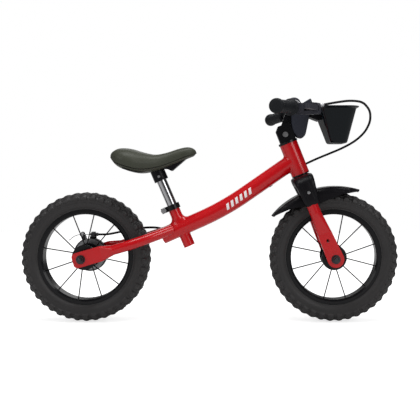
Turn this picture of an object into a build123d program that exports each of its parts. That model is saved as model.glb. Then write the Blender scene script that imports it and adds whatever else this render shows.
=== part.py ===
from build123d import *
import math
import os

# Child's balance bike with 12-inch wheels, a hand brake and a front basket.
# Millimetres. +X is forward, +Y is the rider's left, +Z is up.
# The origin lies on the ground, midway between the axles, in the middle plane.

os.makedirs("parts", exist_ok=True)

# ---------------------------------------------------------------- driving dimensions

wheelbase = 556.0
tyre_radius = 145.0
tyre_half_width = 24.0
rim_inner_radius = 95.5
rim_floor_radius = 100.0
rim_flange_radius = 106.0
rim_half_width = 15.0
rim_wall = 2.5
spoke_count = 12
spoke_radius = 1.25
spoke_circle_radius = 25.0
spoke_rim_offset = 4.0

axle_radius = 4.75
hub_barrel_radius = 13.0
hub_flange_radius = 28.0
hub_flange_width = 3.0
hub_half_length = 30.0
bearing_width = 8.0
bearing_race_radius = 9.5
drum_inner_radius = 27.0
drum_radius = 36.0
drum_start = 30.5
drum_end = 41.0
band_thickness = 2.0

steering_lean = 21.6
head_tube_bottom = 200.0
head_tube_length = 74.0
head_tube_radius = 20.5
head_tube_wall = 3.0
headset_lip = 5.0
steerer_radius = 12.7
steerer_wall = 2.4

main_tube_radius = 18.0
main_tube_wall = 2.0
main_tube_bend = 600.0
stay_radius = 11.0
stay_wall = 1.8
stay_plate_width = 33.0
stay_plate_thickness = 8.0
stay_spread = 50.0

seat_tube_lean = 23.3
seat_tube_radius = 12.7
seat_tube_wall = 1.5
seat_tube_length = 100.0
seatpost_radius = 11.1
seatpost_wall = 1.6
seatpost_insertion = 62.0
seatpost_exposed = 70.0

fork_leg_radius = 12.5
fork_leg_wall = 2.0
fork_spread = 47.0
fork_plate_thickness = 10.0
fork_plate_width = 31.0
fork_end_radius = 18.3
fork_hole_radius = 4.0
fork_hole_height = 44.0

bar_radius = 11.1
bar_wall = 1.8
bar_centre_x = 189.0
bar_centre_z = 485.0
bar_half_width = 200.0
grip_length = 95.0
grip_radius = 13.5

cable_radius = 2.5
wire_radius = 0.8

running_gap = 0.05
body_gap = 0.3

# ---------------------------------------------------------------- derived places

front_x = wheelbase / 2
rear_x = -wheelbase / 2
axle_z = tyre_radius

steer_cos = math.cos(math.radians(steering_lean))
steer_sin = math.sin(math.radians(steering_lean))
steer_plane = Plane(
    origin=(front_x, 0, axle_z),
    x_dir=(steer_cos, 0, steer_sin),
    z_dir=(-steer_sin, 0, steer_cos),
)
steer_side = Plane(
    origin=(front_x, 0, axle_z),
    x_dir=(steer_cos, 0, steer_sin),
    z_dir=(0, -1, 0),
)
head_tube_top = head_tube_bottom + head_tube_length

seat_cos = math.cos(math.radians(seat_tube_lean))
seat_sin = math.sin(math.radians(seat_tube_lean))
seat_foot = Vector(-46, 0, 169)
seat_plane = Plane(origin=seat_foot, x_dir=(seat_cos, 0, seat_sin), z_dir=(-seat_sin, 0, seat_cos))

front_axis = Axis((front_x, 0, axle_z), (0, 1, 0))
rear_axis = Axis((rear_x, 0, axle_z), (0, 1, 0))


def wheel_section(axle_x):
    """Plane through an axle: its x runs along the axle and its y points up."""
    return Plane(origin=(axle_x, 0, axle_z), x_dir=(0, 1, 0), z_dir=(1, 0, 0))


def side_plane(x, y, z):
    """Upright plane at a point: its x points forward, its y up, and it faces the rider's right."""
    return Plane(origin=(x, y, z), x_dir=(1, 0, 0), z_dir=(0, -1, 0))


def corner_radii(points, share=0.45):
    """The largest arcs that a route's runs leave room for, one for each corner."""
    spots = [Vector(*p) for p in points]
    radii = []
    for before, here, after in zip(spots, spots[1:], spots[2:]):
        turn = math.radians((here - before).get_angle(after - here))
        shorter = min((here - before).length, (after - here).length)
        radii.append(share * shorter / math.tan(turn / 2))
    return radii


def tube_along(points, radius, inner=0.0, radii=None):
    """A round tube or rod along straight runs joined by tangent arcs."""
    with BuildPart() as tube:
        with BuildLine() as route:
            FilletPolyline(*points, radius=radii or corner_radii(points))
        start = Plane(origin=route.line @ 0, z_dir=route.line % 0)
        with BuildSketch(start):
            Circle(radius)
            if inner:
                Circle(inner, mode=Mode.SUBTRACT)
        sweep(path=route.line)
    return tube.part


def rod(start, end, radius, inner=0.0):
    """A straight rod or tube between two points."""
    first = Vector(*start)
    run = Vector(*end) - first
    with BuildPart() as piece:
        with BuildSketch(Plane(origin=first, z_dir=run.normalized())):
            Circle(radius)
            if inner:
                Circle(inner, mode=Mode.SUBTRACT)
        extrude(amount=run.length)
    return piece.part


def hex_nut(centre, direction, across_flats, height, bore):
    """A hexagon nut with a chamfered outer face, seated at centre and growing along direction."""
    seat = Plane(origin=centre, z_dir=direction)
    with BuildPart() as nut:
        with BuildSketch(seat):
            RegularPolygon(across_flats / 2, 6, major_radius=False)
            Circle(bore, mode=Mode.SUBTRACT)
        extrude(amount=height)
        with BuildSketch(seat):
            Circle(across_flats * 0.56)
        extrude(amount=height, taper=8, mode=Mode.INTERSECT)
    return nut.part


def capped_bolt(centre, direction, head_radius, head_height, shank_radius, shank_length):
    """A round-headed bolt: the head grows along direction and the shank runs the other way."""
    towards = Vector(*direction)
    with BuildPart() as bolt:
        with BuildSketch(Plane(origin=centre, z_dir=towards)):
            Circle(head_radius)
        extrude(amount=head_height)
        fillet(bolt.faces().sort_by(Axis(centre, direction))[-1].edges(), head_height * 0.4)
        with BuildSketch(Plane(origin=centre, z_dir=-towards)):
            Circle(shank_radius)
        extrude(amount=shank_length)
    return bolt.part


# ---------------------------------------------------------------- wheels


def make_rim(axle_x, axis, spokes):
    """Channel rim whose inner wall holds the spoke ends."""
    with BuildPart() as rim:
        with BuildSketch(wheel_section(axle_x)):
            with BuildLine():
                Polyline(
                    (-rim_half_width + 3, rim_inner_radius),
                    (rim_half_width - 3, rim_inner_radius),
                    (rim_half_width, rim_inner_radius + 4),
                    (rim_half_width, rim_flange_radius),
                    (rim_half_width - rim_wall, rim_flange_radius),
                    (rim_half_width - rim_wall, rim_floor_radius),
                    (-rim_half_width + rim_wall, rim_floor_radius),
                    (-rim_half_width + rim_wall, rim_flange_radius),
                    (-rim_half_width, rim_flange_radius),
                    (-rim_half_width, rim_inner_radius + 4),
                    close=True,
                )
            make_face()
        revolve(axis=axis)
        add(spokes, mode=Mode.SUBTRACT)
    return rim


def make_tyre(axle_x, axis):
    """Solid foam tyre seated between the rim's flanges."""
    seat = rim_half_width - rim_wall
    shoulder = (19.0, tyre_radius - 4.5)
    with BuildPart() as tyre:
        with BuildSketch(wheel_section(axle_x)):
            with BuildLine():
                Line((-seat, rim_floor_radius), (seat, rim_floor_radius))
                Line((seat, rim_floor_radius), (seat, rim_flange_radius))
                Line((seat, rim_flange_radius), (rim_half_width + 0.5, rim_flange_radius + 0.5))
                ThreePointArc(
                    (rim_half_width + 0.5, rim_flange_radius + 0.5),
                    (tyre_half_width, 0.45 * tyre_radius + 0.55 * rim_flange_radius),
                    shoulder,
                )
                ThreePointArc(shoulder, (0, tyre_radius), (-shoulder[0], shoulder[1]))
                ThreePointArc(
                    (-shoulder[0], shoulder[1]),
                    (-tyre_half_width, 0.45 * tyre_radius + 0.55 * rim_flange_radius),
                    (-rim_half_width - 0.5, rim_flange_radius + 0.5),
                )
                Line((-rim_half_width - 0.5, rim_flange_radius + 0.5), (-seat, rim_flange_radius))
                Line((-seat, rim_flange_radius), (-seat, rim_floor_radius))
            make_face()
        revolve(axis=axis)
    return tyre


def make_spokes(axle_x, flanges, phase):
    """Straight spokes, in turn from the right and the left hub flange, to the middle of the rim."""
    spokes = []
    for index in range(spoke_count):
        angle = math.radians(phase + index * 360 / spoke_count)
        side = index % 2
        lean = spoke_rim_offset * (1 if side else -1)
        across = flanges[side] + hub_flange_width / 2
        reach = rim_floor_radius - 0.5
        foot = spoke_circle_radius
        start = (axle_x + foot * math.cos(angle), across, axle_z + foot * math.sin(angle))
        end = (axle_x + reach * math.cos(angle), lean, axle_z + reach * math.sin(angle))
        spokes.append(rod(start, end, spoke_radius))
    return spokes


def tapered_link(plane, start, start_radius, end, end_radius, thickness):
    """A flat link whose outline is the hull of two circles, drawn on a plane and thickened."""
    with BuildPart() as link:
        with BuildSketch(plane):
            with Locations(start):
                Circle(start_radius)
            with Locations(end):
                Circle(end_radius)
            make_hull()
        extrude(amount=thickness)
    return link.part


def make_hub(axle_x, axis, flanges, left_end, spokes):
    """Spool hub with two flanges; its ends are bored for the bearings."""
    right_end = -hub_half_length
    bore = bearing_race_radius + 1.5
    waist = axle_radius + 1.0
    with BuildPart() as hub:
        with BuildSketch(wheel_section(axle_x)):
            with Locations(((right_end + left_end) / 2, hub_barrel_radius / 2)):
                Rectangle(left_end - right_end, hub_barrel_radius)
            for flange in flanges:
                with Locations((flange + hub_flange_width / 2, hub_flange_radius / 2)):
                    Rectangle(hub_flange_width, hub_flange_radius)
        revolve(axis=axis)
        add(rod((axle_x, right_end, axle_z), (axle_x, left_end, axle_z), waist), mode=Mode.SUBTRACT)
        for end, way in ((right_end, 1), (left_end, -1)):
            seat = rod((axle_x, end, axle_z), (axle_x, end + way * bearing_width, axle_z), bore)
            add(seat, mode=Mode.SUBTRACT)
        add(spokes, mode=Mode.SUBTRACT)
    return hub


def make_bearings(axle_x, left_end):
    """Two sealed bearings: an outer and an inner ring with a shield between them, as one piece each."""
    rings = []
    for end, way in ((-hub_half_length, 1), (left_end, -1)):
        start = (axle_x, end, axle_z)
        stop = (axle_x, end + way * bearing_width, axle_z)
        rings.append(rod(start, stop, bearing_race_radius + 1.5, axle_radius + running_gap))
    return rings


def make_axle(axle_x, half_length):
    """Plain axle rod with chamfered ends."""
    with BuildPart() as axle:
        with BuildSketch(side_plane(axle_x, half_length, axle_z)):
            Circle(axle_radius)
        extrude(amount=2 * half_length)
        chamfer(axle.edges().filter_by(GeomType.CIRCLE), 0.8)
    return axle


def make_axle_nuts(axle_x, seats, height):
    """One hexagon nut at each outer face."""
    nuts = []
    for seat in seats:
        way = 1 if seat > 0 else -1
        nuts.append(hex_nut((axle_x, seat, axle_z), (0, way, 0), 15.0, height, axle_radius))
    return nuts


def save_group(name, solids):
    """Writes several separate solids as one node."""
    group = Compound(label=name, children=solids)
    export_step(group, f"parts/{name}.step")


front_flanges = (-23.0, 20.0)
rear_flanges = (-23.0, 12.0)
rear_hub_left = drum_start + 6.0

front_spokes = make_spokes(front_x, front_flanges, 17.0)
front_rim = make_rim(front_x, front_axis, front_spokes)
front_tyre = make_tyre(front_x, front_axis)
front_hub = make_hub(front_x, front_axis, front_flanges, hub_half_length, front_spokes)
rear_spokes = make_spokes(rear_x, rear_flanges, 19.5)
rear_rim = make_rim(rear_x, rear_axis, rear_spokes)
rear_tyre = make_tyre(rear_x, rear_axis)
rear_hub = make_hub(rear_x, rear_axis, rear_flanges, rear_hub_left, rear_spokes)

front_rim.part.label = "front_rim"
export_step(front_rim.part, "parts/front_rim.step")
front_tyre.part.label = "front_tyre"
export_step(front_tyre.part, "parts/front_tyre.step")
front_hub.part.label = "front_hub"
export_step(front_hub.part, "parts/front_hub.step")
rear_rim.part.label = "rear_rim"
export_step(rear_rim.part, "parts/rear_rim.step")
rear_tyre.part.label = "rear_tyre"
export_step(rear_tyre.part, "parts/rear_tyre.step")
rear_hub.part.label = "rear_hub"
export_step(rear_hub.part, "parts/rear_hub.step")
save_group("front_spokes", front_spokes)
save_group("rear_spokes", rear_spokes)
save_group("front_bearings", make_bearings(front_x, hub_half_length))
save_group("rear_bearings", make_bearings(rear_x, rear_hub_left))

# ---------------------------------------------------------------- rear brake

with BuildPart() as brake_drum:
    with BuildSketch(wheel_section(rear_x)):
        with Locations(((drum_start + drum_end) / 2, (drum_inner_radius + drum_radius) / 2)):
            Rectangle(drum_end - drum_start, drum_radius - drum_inner_radius)
        with Locations((drum_start + 1.5, (hub_barrel_radius + drum_inner_radius + 1) / 2)):
            Rectangle(3, drum_inner_radius + 1 - hub_barrel_radius)
    revolve(axis=rear_axis)
    chamfer(brake_drum.edges().filter_by(GeomType.CIRCLE).sort_by(SortBy.RADIUS)[-1], 0.6)
brake_drum.part.label = "brake_drum"
export_step(brake_drum.part, "parts/brake_drum.step")

stay_slope = math.radians(16.3)
anchor_reach = 40.0
anchor_spot = (rear_x + anchor_reach * math.cos(stay_slope), axle_z + anchor_reach * math.sin(stay_slope))
stay_inner_face = stay_spread - stay_plate_thickness / 2
stay_outer_face = stay_spread + stay_plate_thickness / 2
carrier_thickness = 2.5
carrier_face = stay_inner_face - carrier_thickness
band_inner_radius = drum_radius + body_gap
band_radius = band_inner_radius + band_thickness
band_start = drum_start - 1.0
band_end = drum_end - 1.0
tab_x = rear_x + 5.0
tab_width = 8.0
wire_y = carrier_face - 4.0
wire_z = axle_z + 45.0
arm_pivot = (rear_x - 14.0, axle_z + 25.0)
arm_post = (rear_x - 22.0, wire_z)
arm_thickness = 2.5
arm_face = stay_inner_face + body_gap


carrier_plane = side_plane(0, stay_inner_face, 0)
carrier_arms = []
for tip in (anchor_spot, (tab_x, wire_z - 2), arm_pivot):
    carrier_arms.append(tapered_link(carrier_plane, (rear_x, axle_z), 12, tip, 5.8, carrier_thickness))

stop_start = tab_x - tab_width / 2 - 3
stop_end = tab_x + tab_width / 2 + 7
cable_stop_barrel = rod((stop_start, wire_y, wire_z), (stop_end, wire_y, wire_z), 3.0)
anchor_hole = rod((anchor_spot[0], 0, anchor_spot[1]), (anchor_spot[0], 80, anchor_spot[1]), 3.0)
rear_axle_hole = rod((rear_x, -80, axle_z), (rear_x, 80, axle_z), axle_radius)
pivot_hole = rod((arm_pivot[0], 30, arm_pivot[1]), (arm_pivot[0], 60, arm_pivot[1]), 2.0)

with BuildPart() as brake_carrier:
    add(carrier_arms)
    with Locations((tab_x, (wire_y - 5 + stay_inner_face) / 2, wire_z + 0.25)):
        Box(tab_width, stay_inner_face - wire_y + 5, 11.5)
    add([cable_stop_barrel, anchor_hole, rear_axle_hole, pivot_hole], mode=Mode.SUBTRACT)
brake_carrier.part.label = "brake_carrier"
export_step(brake_carrier.part, "parts/brake_carrier.step")

with BuildPart() as brake_cable_stop:
    add(cable_stop_barrel)
    with BuildSketch(Plane(origin=(tab_x + tab_width / 2, wire_y, wire_z), z_dir=(1, 0, 0))):
        Circle(3.9)
    extrude(amount=7)
    bore = rod((stop_start - 1, wire_y, wire_z), (stop_end + 1, wire_y, wire_z), wire_radius + 0.3)
    add(bore, mode=Mode.SUBTRACT)
brake_cable_stop.part.label = "brake_cable_stop"
export_step(brake_cable_stop.part, "parts/brake_cable_stop.step")

with BuildPart() as brake_band:
    with BuildSketch(wheel_section(rear_x)):
        with Locations(((band_start + band_end) / 2, (band_inner_radius + band_radius) / 2)):
            Rectangle(band_end - band_start, band_thickness)
    revolve(axis=rear_axis)
    with Locations((rear_x - 6, (band_start + band_end) / 2, axle_z + 45)):
        Box(10, 40, 40, mode=Mode.SUBTRACT)
    for lug_x in (rear_x - 12, rear_x):
        low = math.sqrt(band_inner_radius**2 - (lug_x - rear_x) ** 2) + 0.8
        with Locations((lug_x, (band_start + band_end) / 2, axle_z + (low + 41.5) / 2)):
            Box(2, band_end - band_start, 41.5 - low)
brake_band.part.label = "brake_band"
export_step(brake_band.part, "parts/brake_band.step")

brake_anchor_bolt = capped_bolt(
    (anchor_spot[0], stay_outer_face, anchor_spot[1]), (0, 1, 0), 5.5, 3.5, 3.0,
    stay_plate_thickness + carrier_thickness,
)

arm_outer_face = arm_face + arm_thickness
brake_pivot_pin = capped_bolt(
    (arm_pivot[0], arm_outer_face + body_gap, arm_pivot[1]), (0, 1, 0), 4.5, 2.5, 2.0,
    arm_outer_face + body_gap - carrier_face,
)
save_group("brake_bolts", [brake_anchor_bolt, brake_pivot_pin])

wire_run = rod((arm_post[0] - 6, wire_y, wire_z), (arm_post[0] + 6, wire_y, wire_z), wire_radius)
arm_plane = side_plane(0, arm_outer_face, 0)
arm_body = tapered_link(arm_plane, arm_pivot, 5.5, arm_post, 5.5, arm_thickness)
post_hole = rod((arm_post[0], 30, arm_post[1]), (arm_post[0], 60, arm_post[1]), 3.0)
pivot_clearance = rod((arm_pivot[0], 30, arm_pivot[1]), (arm_pivot[0], 60, arm_pivot[1]), 2.0 + running_gap)

with BuildPart() as brake_arm:
    add(arm_body)
    add([post_hole, pivot_clearance], mode=Mode.SUBTRACT)
brake_arm.part.label = "brake_arm"
export_step(brake_arm.part, "parts/brake_arm.step")

with BuildPart() as brake_pinch_bolt:
    add(rod((arm_post[0], wire_y - 4, arm_post[1]), (arm_post[0], arm_outer_face, arm_post[1]), 3.0))
    add(hex_nut((arm_post[0], arm_outer_face, arm_post[1]), (0, 1, 0), 8.0, 3.5, 0.5))
    add(rod((arm_post[0], wire_y - 4, arm_post[1]), (arm_post[0], arm_face, arm_post[1]), 4.0))
    add(wire_run, mode=Mode.SUBTRACT)
brake_pinch_bolt.part.label = "brake_pinch_bolt"
export_step(brake_pinch_bolt.part, "parts/brake_pinch_bolt.step")

wire_tail = [
    (stop_end - 1, wire_y, wire_z),
    (arm_post[0] - 5, wire_y, wire_z),
    (arm_post[0] - 18, wire_y + 1, wire_z - 4),
    (arm_post[0] - 30, wire_y + 3, wire_z - 14),
]
brake_wire = tube_along(wire_tail, wire_radius, radii=[14.0, 14.0])
brake_wire.label = "brake_wire"
export_step(brake_wire, "parts/brake_wire.step")

# ---------------------------------------------------------------- frame

tube_rear = Vector(-105, 0, 191.3)
tube_bend = Vector(32.8, 0, 252.6)
tube_front = Vector(191.7, 0, 362.9)
tube_rear_way = (tube_rear - tube_bend).normalized()
tube_front_way = (tube_front - tube_bend).normalized()
main_tube_core = tube_along([tube_rear, tube_bend, tube_front], main_tube_radius, radii=[main_tube_bend])
head_tube_core = rod(
    steer_plane.from_local_coords((0, 0, head_tube_bottom)),
    steer_plane.from_local_coords((0, 0, head_tube_top)),
    head_tube_radius,
)
seat_tube_core = rod(seat_foot, seat_plane.from_local_coords((0, 0, seat_tube_length)), seat_tube_radius)

main_tube_cap = rod(tube_rear, tube_rear + tube_rear_way * main_tube_wall, main_tube_radius)

with BuildPart() as main_tube:
    add(main_tube_cap)
    add(
        tube_along(
            [tube_rear, tube_bend, tube_front],
            main_tube_radius,
            main_tube_radius - main_tube_wall,
            radii=[main_tube_bend],
        )
    )
    add([head_tube_core, seat_tube_core], mode=Mode.SUBTRACT)
largest_main_tube = main_tube.part.solids().sort_by(SortBy.VOLUME)[-1]
largest_main_tube.label = "main_tube"
export_step(largest_main_tube, "parts/main_tube.step")

with BuildPart() as head_tube:
    with BuildSketch(steer_plane.offset(head_tube_bottom)):
        Circle(head_tube_radius)
        Circle(head_tube_radius - head_tube_wall, mode=Mode.SUBTRACT)
    extrude(amount=head_tube_length)
head_tube.part.label = "head_tube"
export_step(head_tube.part, "parts/head_tube.step")

slit_width = 3.0
with BuildPart() as seat_tube:
    with BuildSketch(seat_plane):
        Circle(seat_tube_radius)
        Circle(seat_tube_radius - seat_tube_wall, mode=Mode.SUBTRACT)
    extrude(amount=seat_tube_length)
    with BuildSketch(seat_plane.offset(seat_tube_length - 26)):
        with Locations((-seat_tube_radius, 0)):
            Rectangle(2 * seat_tube_radius - 6, slit_width)
    extrude(amount=30, mode=Mode.SUBTRACT)
seat_tube.part.label = "seat_tube"
export_step(seat_tube.part, "parts/seat_tube.step")

stay_along = (math.cos(stay_slope), 0, math.sin(stay_slope))
stay_back = (-stay_along[0], 0, -stay_along[2])
stay_up = (-math.sin(stay_slope), 0, math.cos(stay_slope))
stay_round_reach = 72.0
stay_flat_reach = 46.0
stay_end_reach = 18.0


def stay_point(reach, across):
    """A point on a stay's rear line, given by its distance ahead of the axle."""
    return (rear_x + reach * stay_along[0], across, axle_z + reach * stay_along[2])


def make_stay(side, extra_holes):
    """Round tube that bows out around the tyre, then flattens into a dropout plate."""
    across = side * stay_spread
    route = [
        (-84, side * 11, 206),
        (-130, side * 37, 190),
        stay_point(106, across),
        stay_point(stay_round_reach, across),
    ]
    with BuildPart() as stay:
        add(tube_along(route, stay_radius, stay_radius - stay_wall))
        back_section = Plane(origin=stay_point(stay_round_reach, across), x_dir=stay_up, z_dir=stay_back)
        with BuildSketch(back_section):
            RectangleRounded(2 * stay_radius, 2 * stay_radius, stay_radius * 0.99)
        with BuildSketch(back_section.offset(stay_round_reach - stay_flat_reach)):
            RectangleRounded(stay_plate_width, stay_plate_thickness, stay_plate_thickness * 0.49)
        loft()
        plate_plane = Plane(
            origin=(rear_x, across + stay_plate_thickness / 2, axle_z), x_dir=stay_along, z_dir=(0, -1, 0)
        )
        with BuildSketch(plate_plane) as plate:
            with Locations(((stay_flat_reach - stay_end_reach) / 2, 0)):
                Rectangle(stay_flat_reach + stay_end_reach, stay_plate_width)
            fillet(plate.vertices().group_by(Axis.X)[0], 9)
        extrude(amount=stay_plate_thickness)
        add([main_tube_core, main_tube_cap, rear_axle_hole] + extra_holes, mode=Mode.SUBTRACT)
    return stay.part.solids().sort_by(SortBy.VOLUME)[-1]


chainstay_right = make_stay(-1, [])
chainstay_right.label = "chainstay_right"
export_step(chainstay_right, "parts/chainstay_right.step")
chainstay_left = make_stay(1, [anchor_hole])
chainstay_left.label = "chainstay_left"
export_step(chainstay_left, "parts/chainstay_left.step")


def make_headset_cup(seat, inward, lip, lip_radius):
    """Pressed cup: a lip outside the head tube and a sleeve inside it, bored for the steerer."""
    bore = steerer_radius + running_gap
    with BuildPart() as cup:
        with BuildSketch(steer_plane.offset(seat)):
            Circle(lip_radius)
            Circle(bore, mode=Mode.SUBTRACT)
        extrude(amount=-inward * lip)
        with BuildSketch(steer_plane.offset(seat)):
            Circle(head_tube_radius - head_tube_wall)
            Circle(bore, mode=Mode.SUBTRACT)
        extrude(amount=inward * 12)
    return cup.part


headset_upper = make_headset_cup(head_tube_top, -1, headset_lip, head_tube_radius + 1.5)
headset_lower = make_headset_cup(head_tube_bottom, 1, 2.5, head_tube_radius)
save_group("headset_cups", [headset_upper, headset_lower])

clamp_height = 12.0
clamp_middle = seat_tube_length - 5.0
clamp_bolt_back = 21.0
clamp_ear = 8.0
clamp_bolt_spot = seat_plane.from_local_coords((-clamp_bolt_back, 0, clamp_middle))
clamp_bolt_left = (clamp_bolt_spot.X, clamp_ear, clamp_bolt_spot.Z)
clamp_bolt_right = (clamp_bolt_spot.X, -clamp_ear, clamp_bolt_spot.Z)
seat_clamp_shank = rod(
    (clamp_bolt_spot.X, -clamp_ear - 7, clamp_bolt_spot.Z), clamp_bolt_left, 2.5
)

with BuildPart() as seat_clamp:
    with BuildSketch(seat_plane.offset(clamp_middle - clamp_height / 2)) as ring:
        Circle(seat_tube_radius + 3.2)
        with Locations((-clamp_bolt_back / 2 - 3, 0)):
            Rectangle(clamp_bolt_back + 6, 2 * clamp_ear)
        fillet(ring.vertices().group_by(Axis.X)[0], 3)
        Circle(seat_tube_radius, mode=Mode.SUBTRACT)
        with Locations((-clamp_bolt_back / 2 - 6, 0)):
            Rectangle(clamp_bolt_back + 20, slit_width, mode=Mode.SUBTRACT)
    extrude(amount=clamp_height)
    add(seat_clamp_shank, mode=Mode.SUBTRACT)
seat_clamp.part.label = "seat_clamp"
export_step(seat_clamp.part, "parts/seat_clamp.step")

seat_clamp_bolt = capped_bolt(clamp_bolt_left, (0, 1, 0), 6.5, 4.0, 2.5, 2 * clamp_ear + 7)
seat_clamp_nut = hex_nut(clamp_bolt_right, (0, -1, 0), 12.0, 5.0, 2.5)
save_group("seat_clamp_bolt", [seat_clamp_bolt, seat_clamp_nut])

rear_axle_half = stay_outer_face + 17.0
rear_axle = make_axle(rear_x, rear_axle_half)
rear_axle.part.label = "rear_axle"
export_step(rear_axle.part, "parts/rear_axle.step")
washer_thickness = 1.6


def make_washers(axle_x, faces):
    """One flat washer against each outer face."""
    washers = []
    for face in faces:
        way = 1 if face > 0 else -1
        end = (axle_x, face + way * washer_thickness, axle_z)
        washers.append(rod((axle_x, face, axle_z), end, 10.0, axle_radius))
    return washers


def make_spacers(axle_x, spans):
    """Sleeves that fill the axle between the bearings and the frame."""
    return [rod((axle_x, a, axle_z), (axle_x, b, axle_z), 8.0, axle_radius) for a, b in spans]


rear_nut_seat = stay_outer_face + washer_thickness
rear_nuts = make_axle_nuts(rear_x, (-rear_nut_seat, rear_nut_seat), 8.0)
rear_washers = make_washers(rear_x, (-stay_outer_face, stay_outer_face))
save_group("rear_axle_nuts", rear_nuts + rear_washers)
rear_spacer_spans = (
    (-hub_half_length - body_gap, -stay_inner_face),
    (rear_hub_left + body_gap, carrier_face),
)
save_group("rear_axle_spacers", make_spacers(rear_x, rear_spacer_spans))

# ---------------------------------------------------------------- brake cable

lever_barrel_end = (245.3, -101.5, 477.8)
barrel_length = 17.0
front_cable_route = [
    lever_barrel_end,
    (272, -97, 483),
    (301, -97, 487),
    (330, -90, 485),
    (350, -67, 468),
    (355, -40, 446),
    (347, -17, 424),
    (328, -2, 405),
    (301, 9, 389.5),
    (269, 17, 376),
    (240, 22.5, 364),
    (213, 26, 351),
]
rear_cable_route = [
    (213, 26, 351),
    (190.6, 28.9, 340.2),
    (158.6, 16, 321.6),
    (113.6, 15, 290.3),
    (72, 15, 261.7),
    (38, 15, 241),
    (3, 15, 223.5),
    (-44, 18, 203),
    (-70, 25, 198),
    (-100, 36, 200.5),
    (-128, 45, 206),
    (-160, 48, 205),
    (-204, 44, 197),
    (-240, wire_y, wire_z),
    (stop_end, wire_y, wire_z),
]
brake_cable_front = tube_along(front_cable_route, cable_radius)
brake_cable_front.label = "brake_cable_front"
export_step(brake_cable_front, "parts/brake_cable_front.step")
brake_cable_rear = tube_along(rear_cable_route, cable_radius)
brake_cable_rear.label = "brake_cable_rear"
export_step(brake_cable_rear, "parts/brake_cable_rear.step")
for title, route in (("front cable", front_cable_route), ("rear cable", rear_cable_route)):
    print(title, "corner radii", [round(r) for r in corner_radii(route)])


clip_length = 8.0
clip_clearance = 0.1


def make_clip(start, end):
    """Saddle clip that wraps the cable halfway along a run and rests on the main tube."""
    first = Vector(*start)
    run = Vector(*end) - first
    spot = first + run / 2
    way = run.normalized()
    axis_way = tube_front_way if spot.X > tube_bend.X else tube_rear_way
    foot = tube_bend + axis_way * (spot - tube_bend).dot(axis_way)
    outward = spot - foot
    outward = (outward - way * outward.dot(way)).normalized()
    with BuildPart() as clip:
        with BuildSketch(Plane(origin=spot - way * clip_length / 2, x_dir=outward, z_dir=way)):
            Circle(cable_radius + 2.2)
            with Locations((-3.5, 0)):
                Rectangle(7, 2 * cable_radius + 4.4)
            Circle(cable_radius + clip_clearance, mode=Mode.SUBTRACT)
        extrude(amount=clip_length)
        add(main_tube_core, mode=Mode.SUBTRACT)
    return clip.part.solids().sort_by(SortBy.VOLUME)[-1]


cable_clips = [
    make_clip(rear_cable_route[2], rear_cable_route[3]),
    make_clip(rear_cable_route[6], rear_cable_route[7]),
]
save_group("cable_clips", cable_clips)

# ---------------------------------------------------------------- fork and crown

leg_back = -4.0
leg_top = 176.0
leg_round_end = 110.0
leg_flat_start = 62.0
crown_bottom = 162.0
crown_height = 14.0
crown_width = 28.0
cover_top = head_tube_bottom - 2.5 - body_gap
cover_bottom = 129.0
cover_half_width = 62.0
screw_radius = 1.5


def steer_point(forward, across, height):
    """A point given by its place ahead of, beside and up along the steering axis."""
    return steer_plane.from_local_coords((forward, across, height))


front_axle_hole = rod((front_x, -80, axle_z), (front_x, 80, axle_z), axle_radius)
leg_cores = []
for side in (-1, 1):
    foot = steer_point(leg_back, side * fork_spread, leg_round_end)
    head = steer_point(leg_back, side * fork_spread, leg_top)
    leg_cores.append(rod(foot, head, fork_leg_radius))

crown_screws = []
for side, height in ((-1, 158.0), (1, 152.0), (1, 166.0)):
    face = steer_point(leg_back + 2, side * (cover_half_width - 0.4), height)
    crown_screws.append(capped_bolt(face, (0, side, 0), 3.5, 2.2, screw_radius, 6.0))


def make_fork_leg(side):
    """Round tube at the top that flattens into a plate with a rounded axle end."""
    across = side * fork_spread
    with BuildPart() as leg:
        foot = steer_point(leg_back, across, leg_round_end)
        head = steer_point(leg_back, across, leg_top)
        add(rod(foot, head, fork_leg_radius, fork_leg_radius - fork_leg_wall))
        with BuildSketch(steer_plane.offset(leg_round_end)):
            with Locations((leg_back, across)):
                RectangleRounded(2 * fork_leg_radius, 2 * fork_leg_radius, fork_leg_radius * 0.99)
        with BuildSketch(steer_plane.offset(leg_flat_start)):
            with Locations((leg_back / 2, across)):
                RectangleRounded(fork_plate_width, fork_plate_thickness, fork_plate_thickness * 0.49)
        loft()
        outer_face = Plane(
            origin=(front_x, across + fork_plate_thickness / 2, axle_z),
            x_dir=steer_side.x_dir,
            z_dir=steer_side.z_dir,
        )
        with BuildSketch(outer_face):
            Circle(fork_end_radius)
            with BuildLine():
                Polyline(
                    (leg_back / 2 - fork_plate_width / 2, leg_flat_start),
                    (leg_back / 2 + fork_plate_width / 2, leg_flat_start),
                    (fork_end_radius, 0),
                    (-fork_end_radius, 0),
                    close=True,
                )
            make_face()
            with Locations((leg_back / 3, fork_hole_height)):
                Circle(fork_hole_radius, mode=Mode.SUBTRACT)
        extrude(amount=fork_plate_thickness)
        add([front_axle_hole] + crown_screws, mode=Mode.SUBTRACT)
    return leg.part.solids().sort_by(SortBy.VOLUME)[-1]


fork_leg_right = make_fork_leg(-1)
fork_leg_right.label = "fork_leg_right"
export_step(fork_leg_right, "parts/fork_leg_right.step")
fork_leg_left = make_fork_leg(1)
fork_leg_left.label = "fork_leg_left"
export_step(fork_leg_left, "parts/fork_leg_left.step")

mudguard_centre = Vector(282.8, 0, 114.9)
mudguard_radius = 189.0
mudguard_half_width = 31.0
mudguard_wall = 2.2
mudguard_bolt_radius = 3.0
mudguard_seat = 159.1
mudguard_screw = capped_bolt(
    steer_point(0, 0, mudguard_seat - mudguard_wall - 0.6), -steer_plane.z_dir, 6.5, 3.0,
    mudguard_bolt_radius, 17.0,
)

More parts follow.
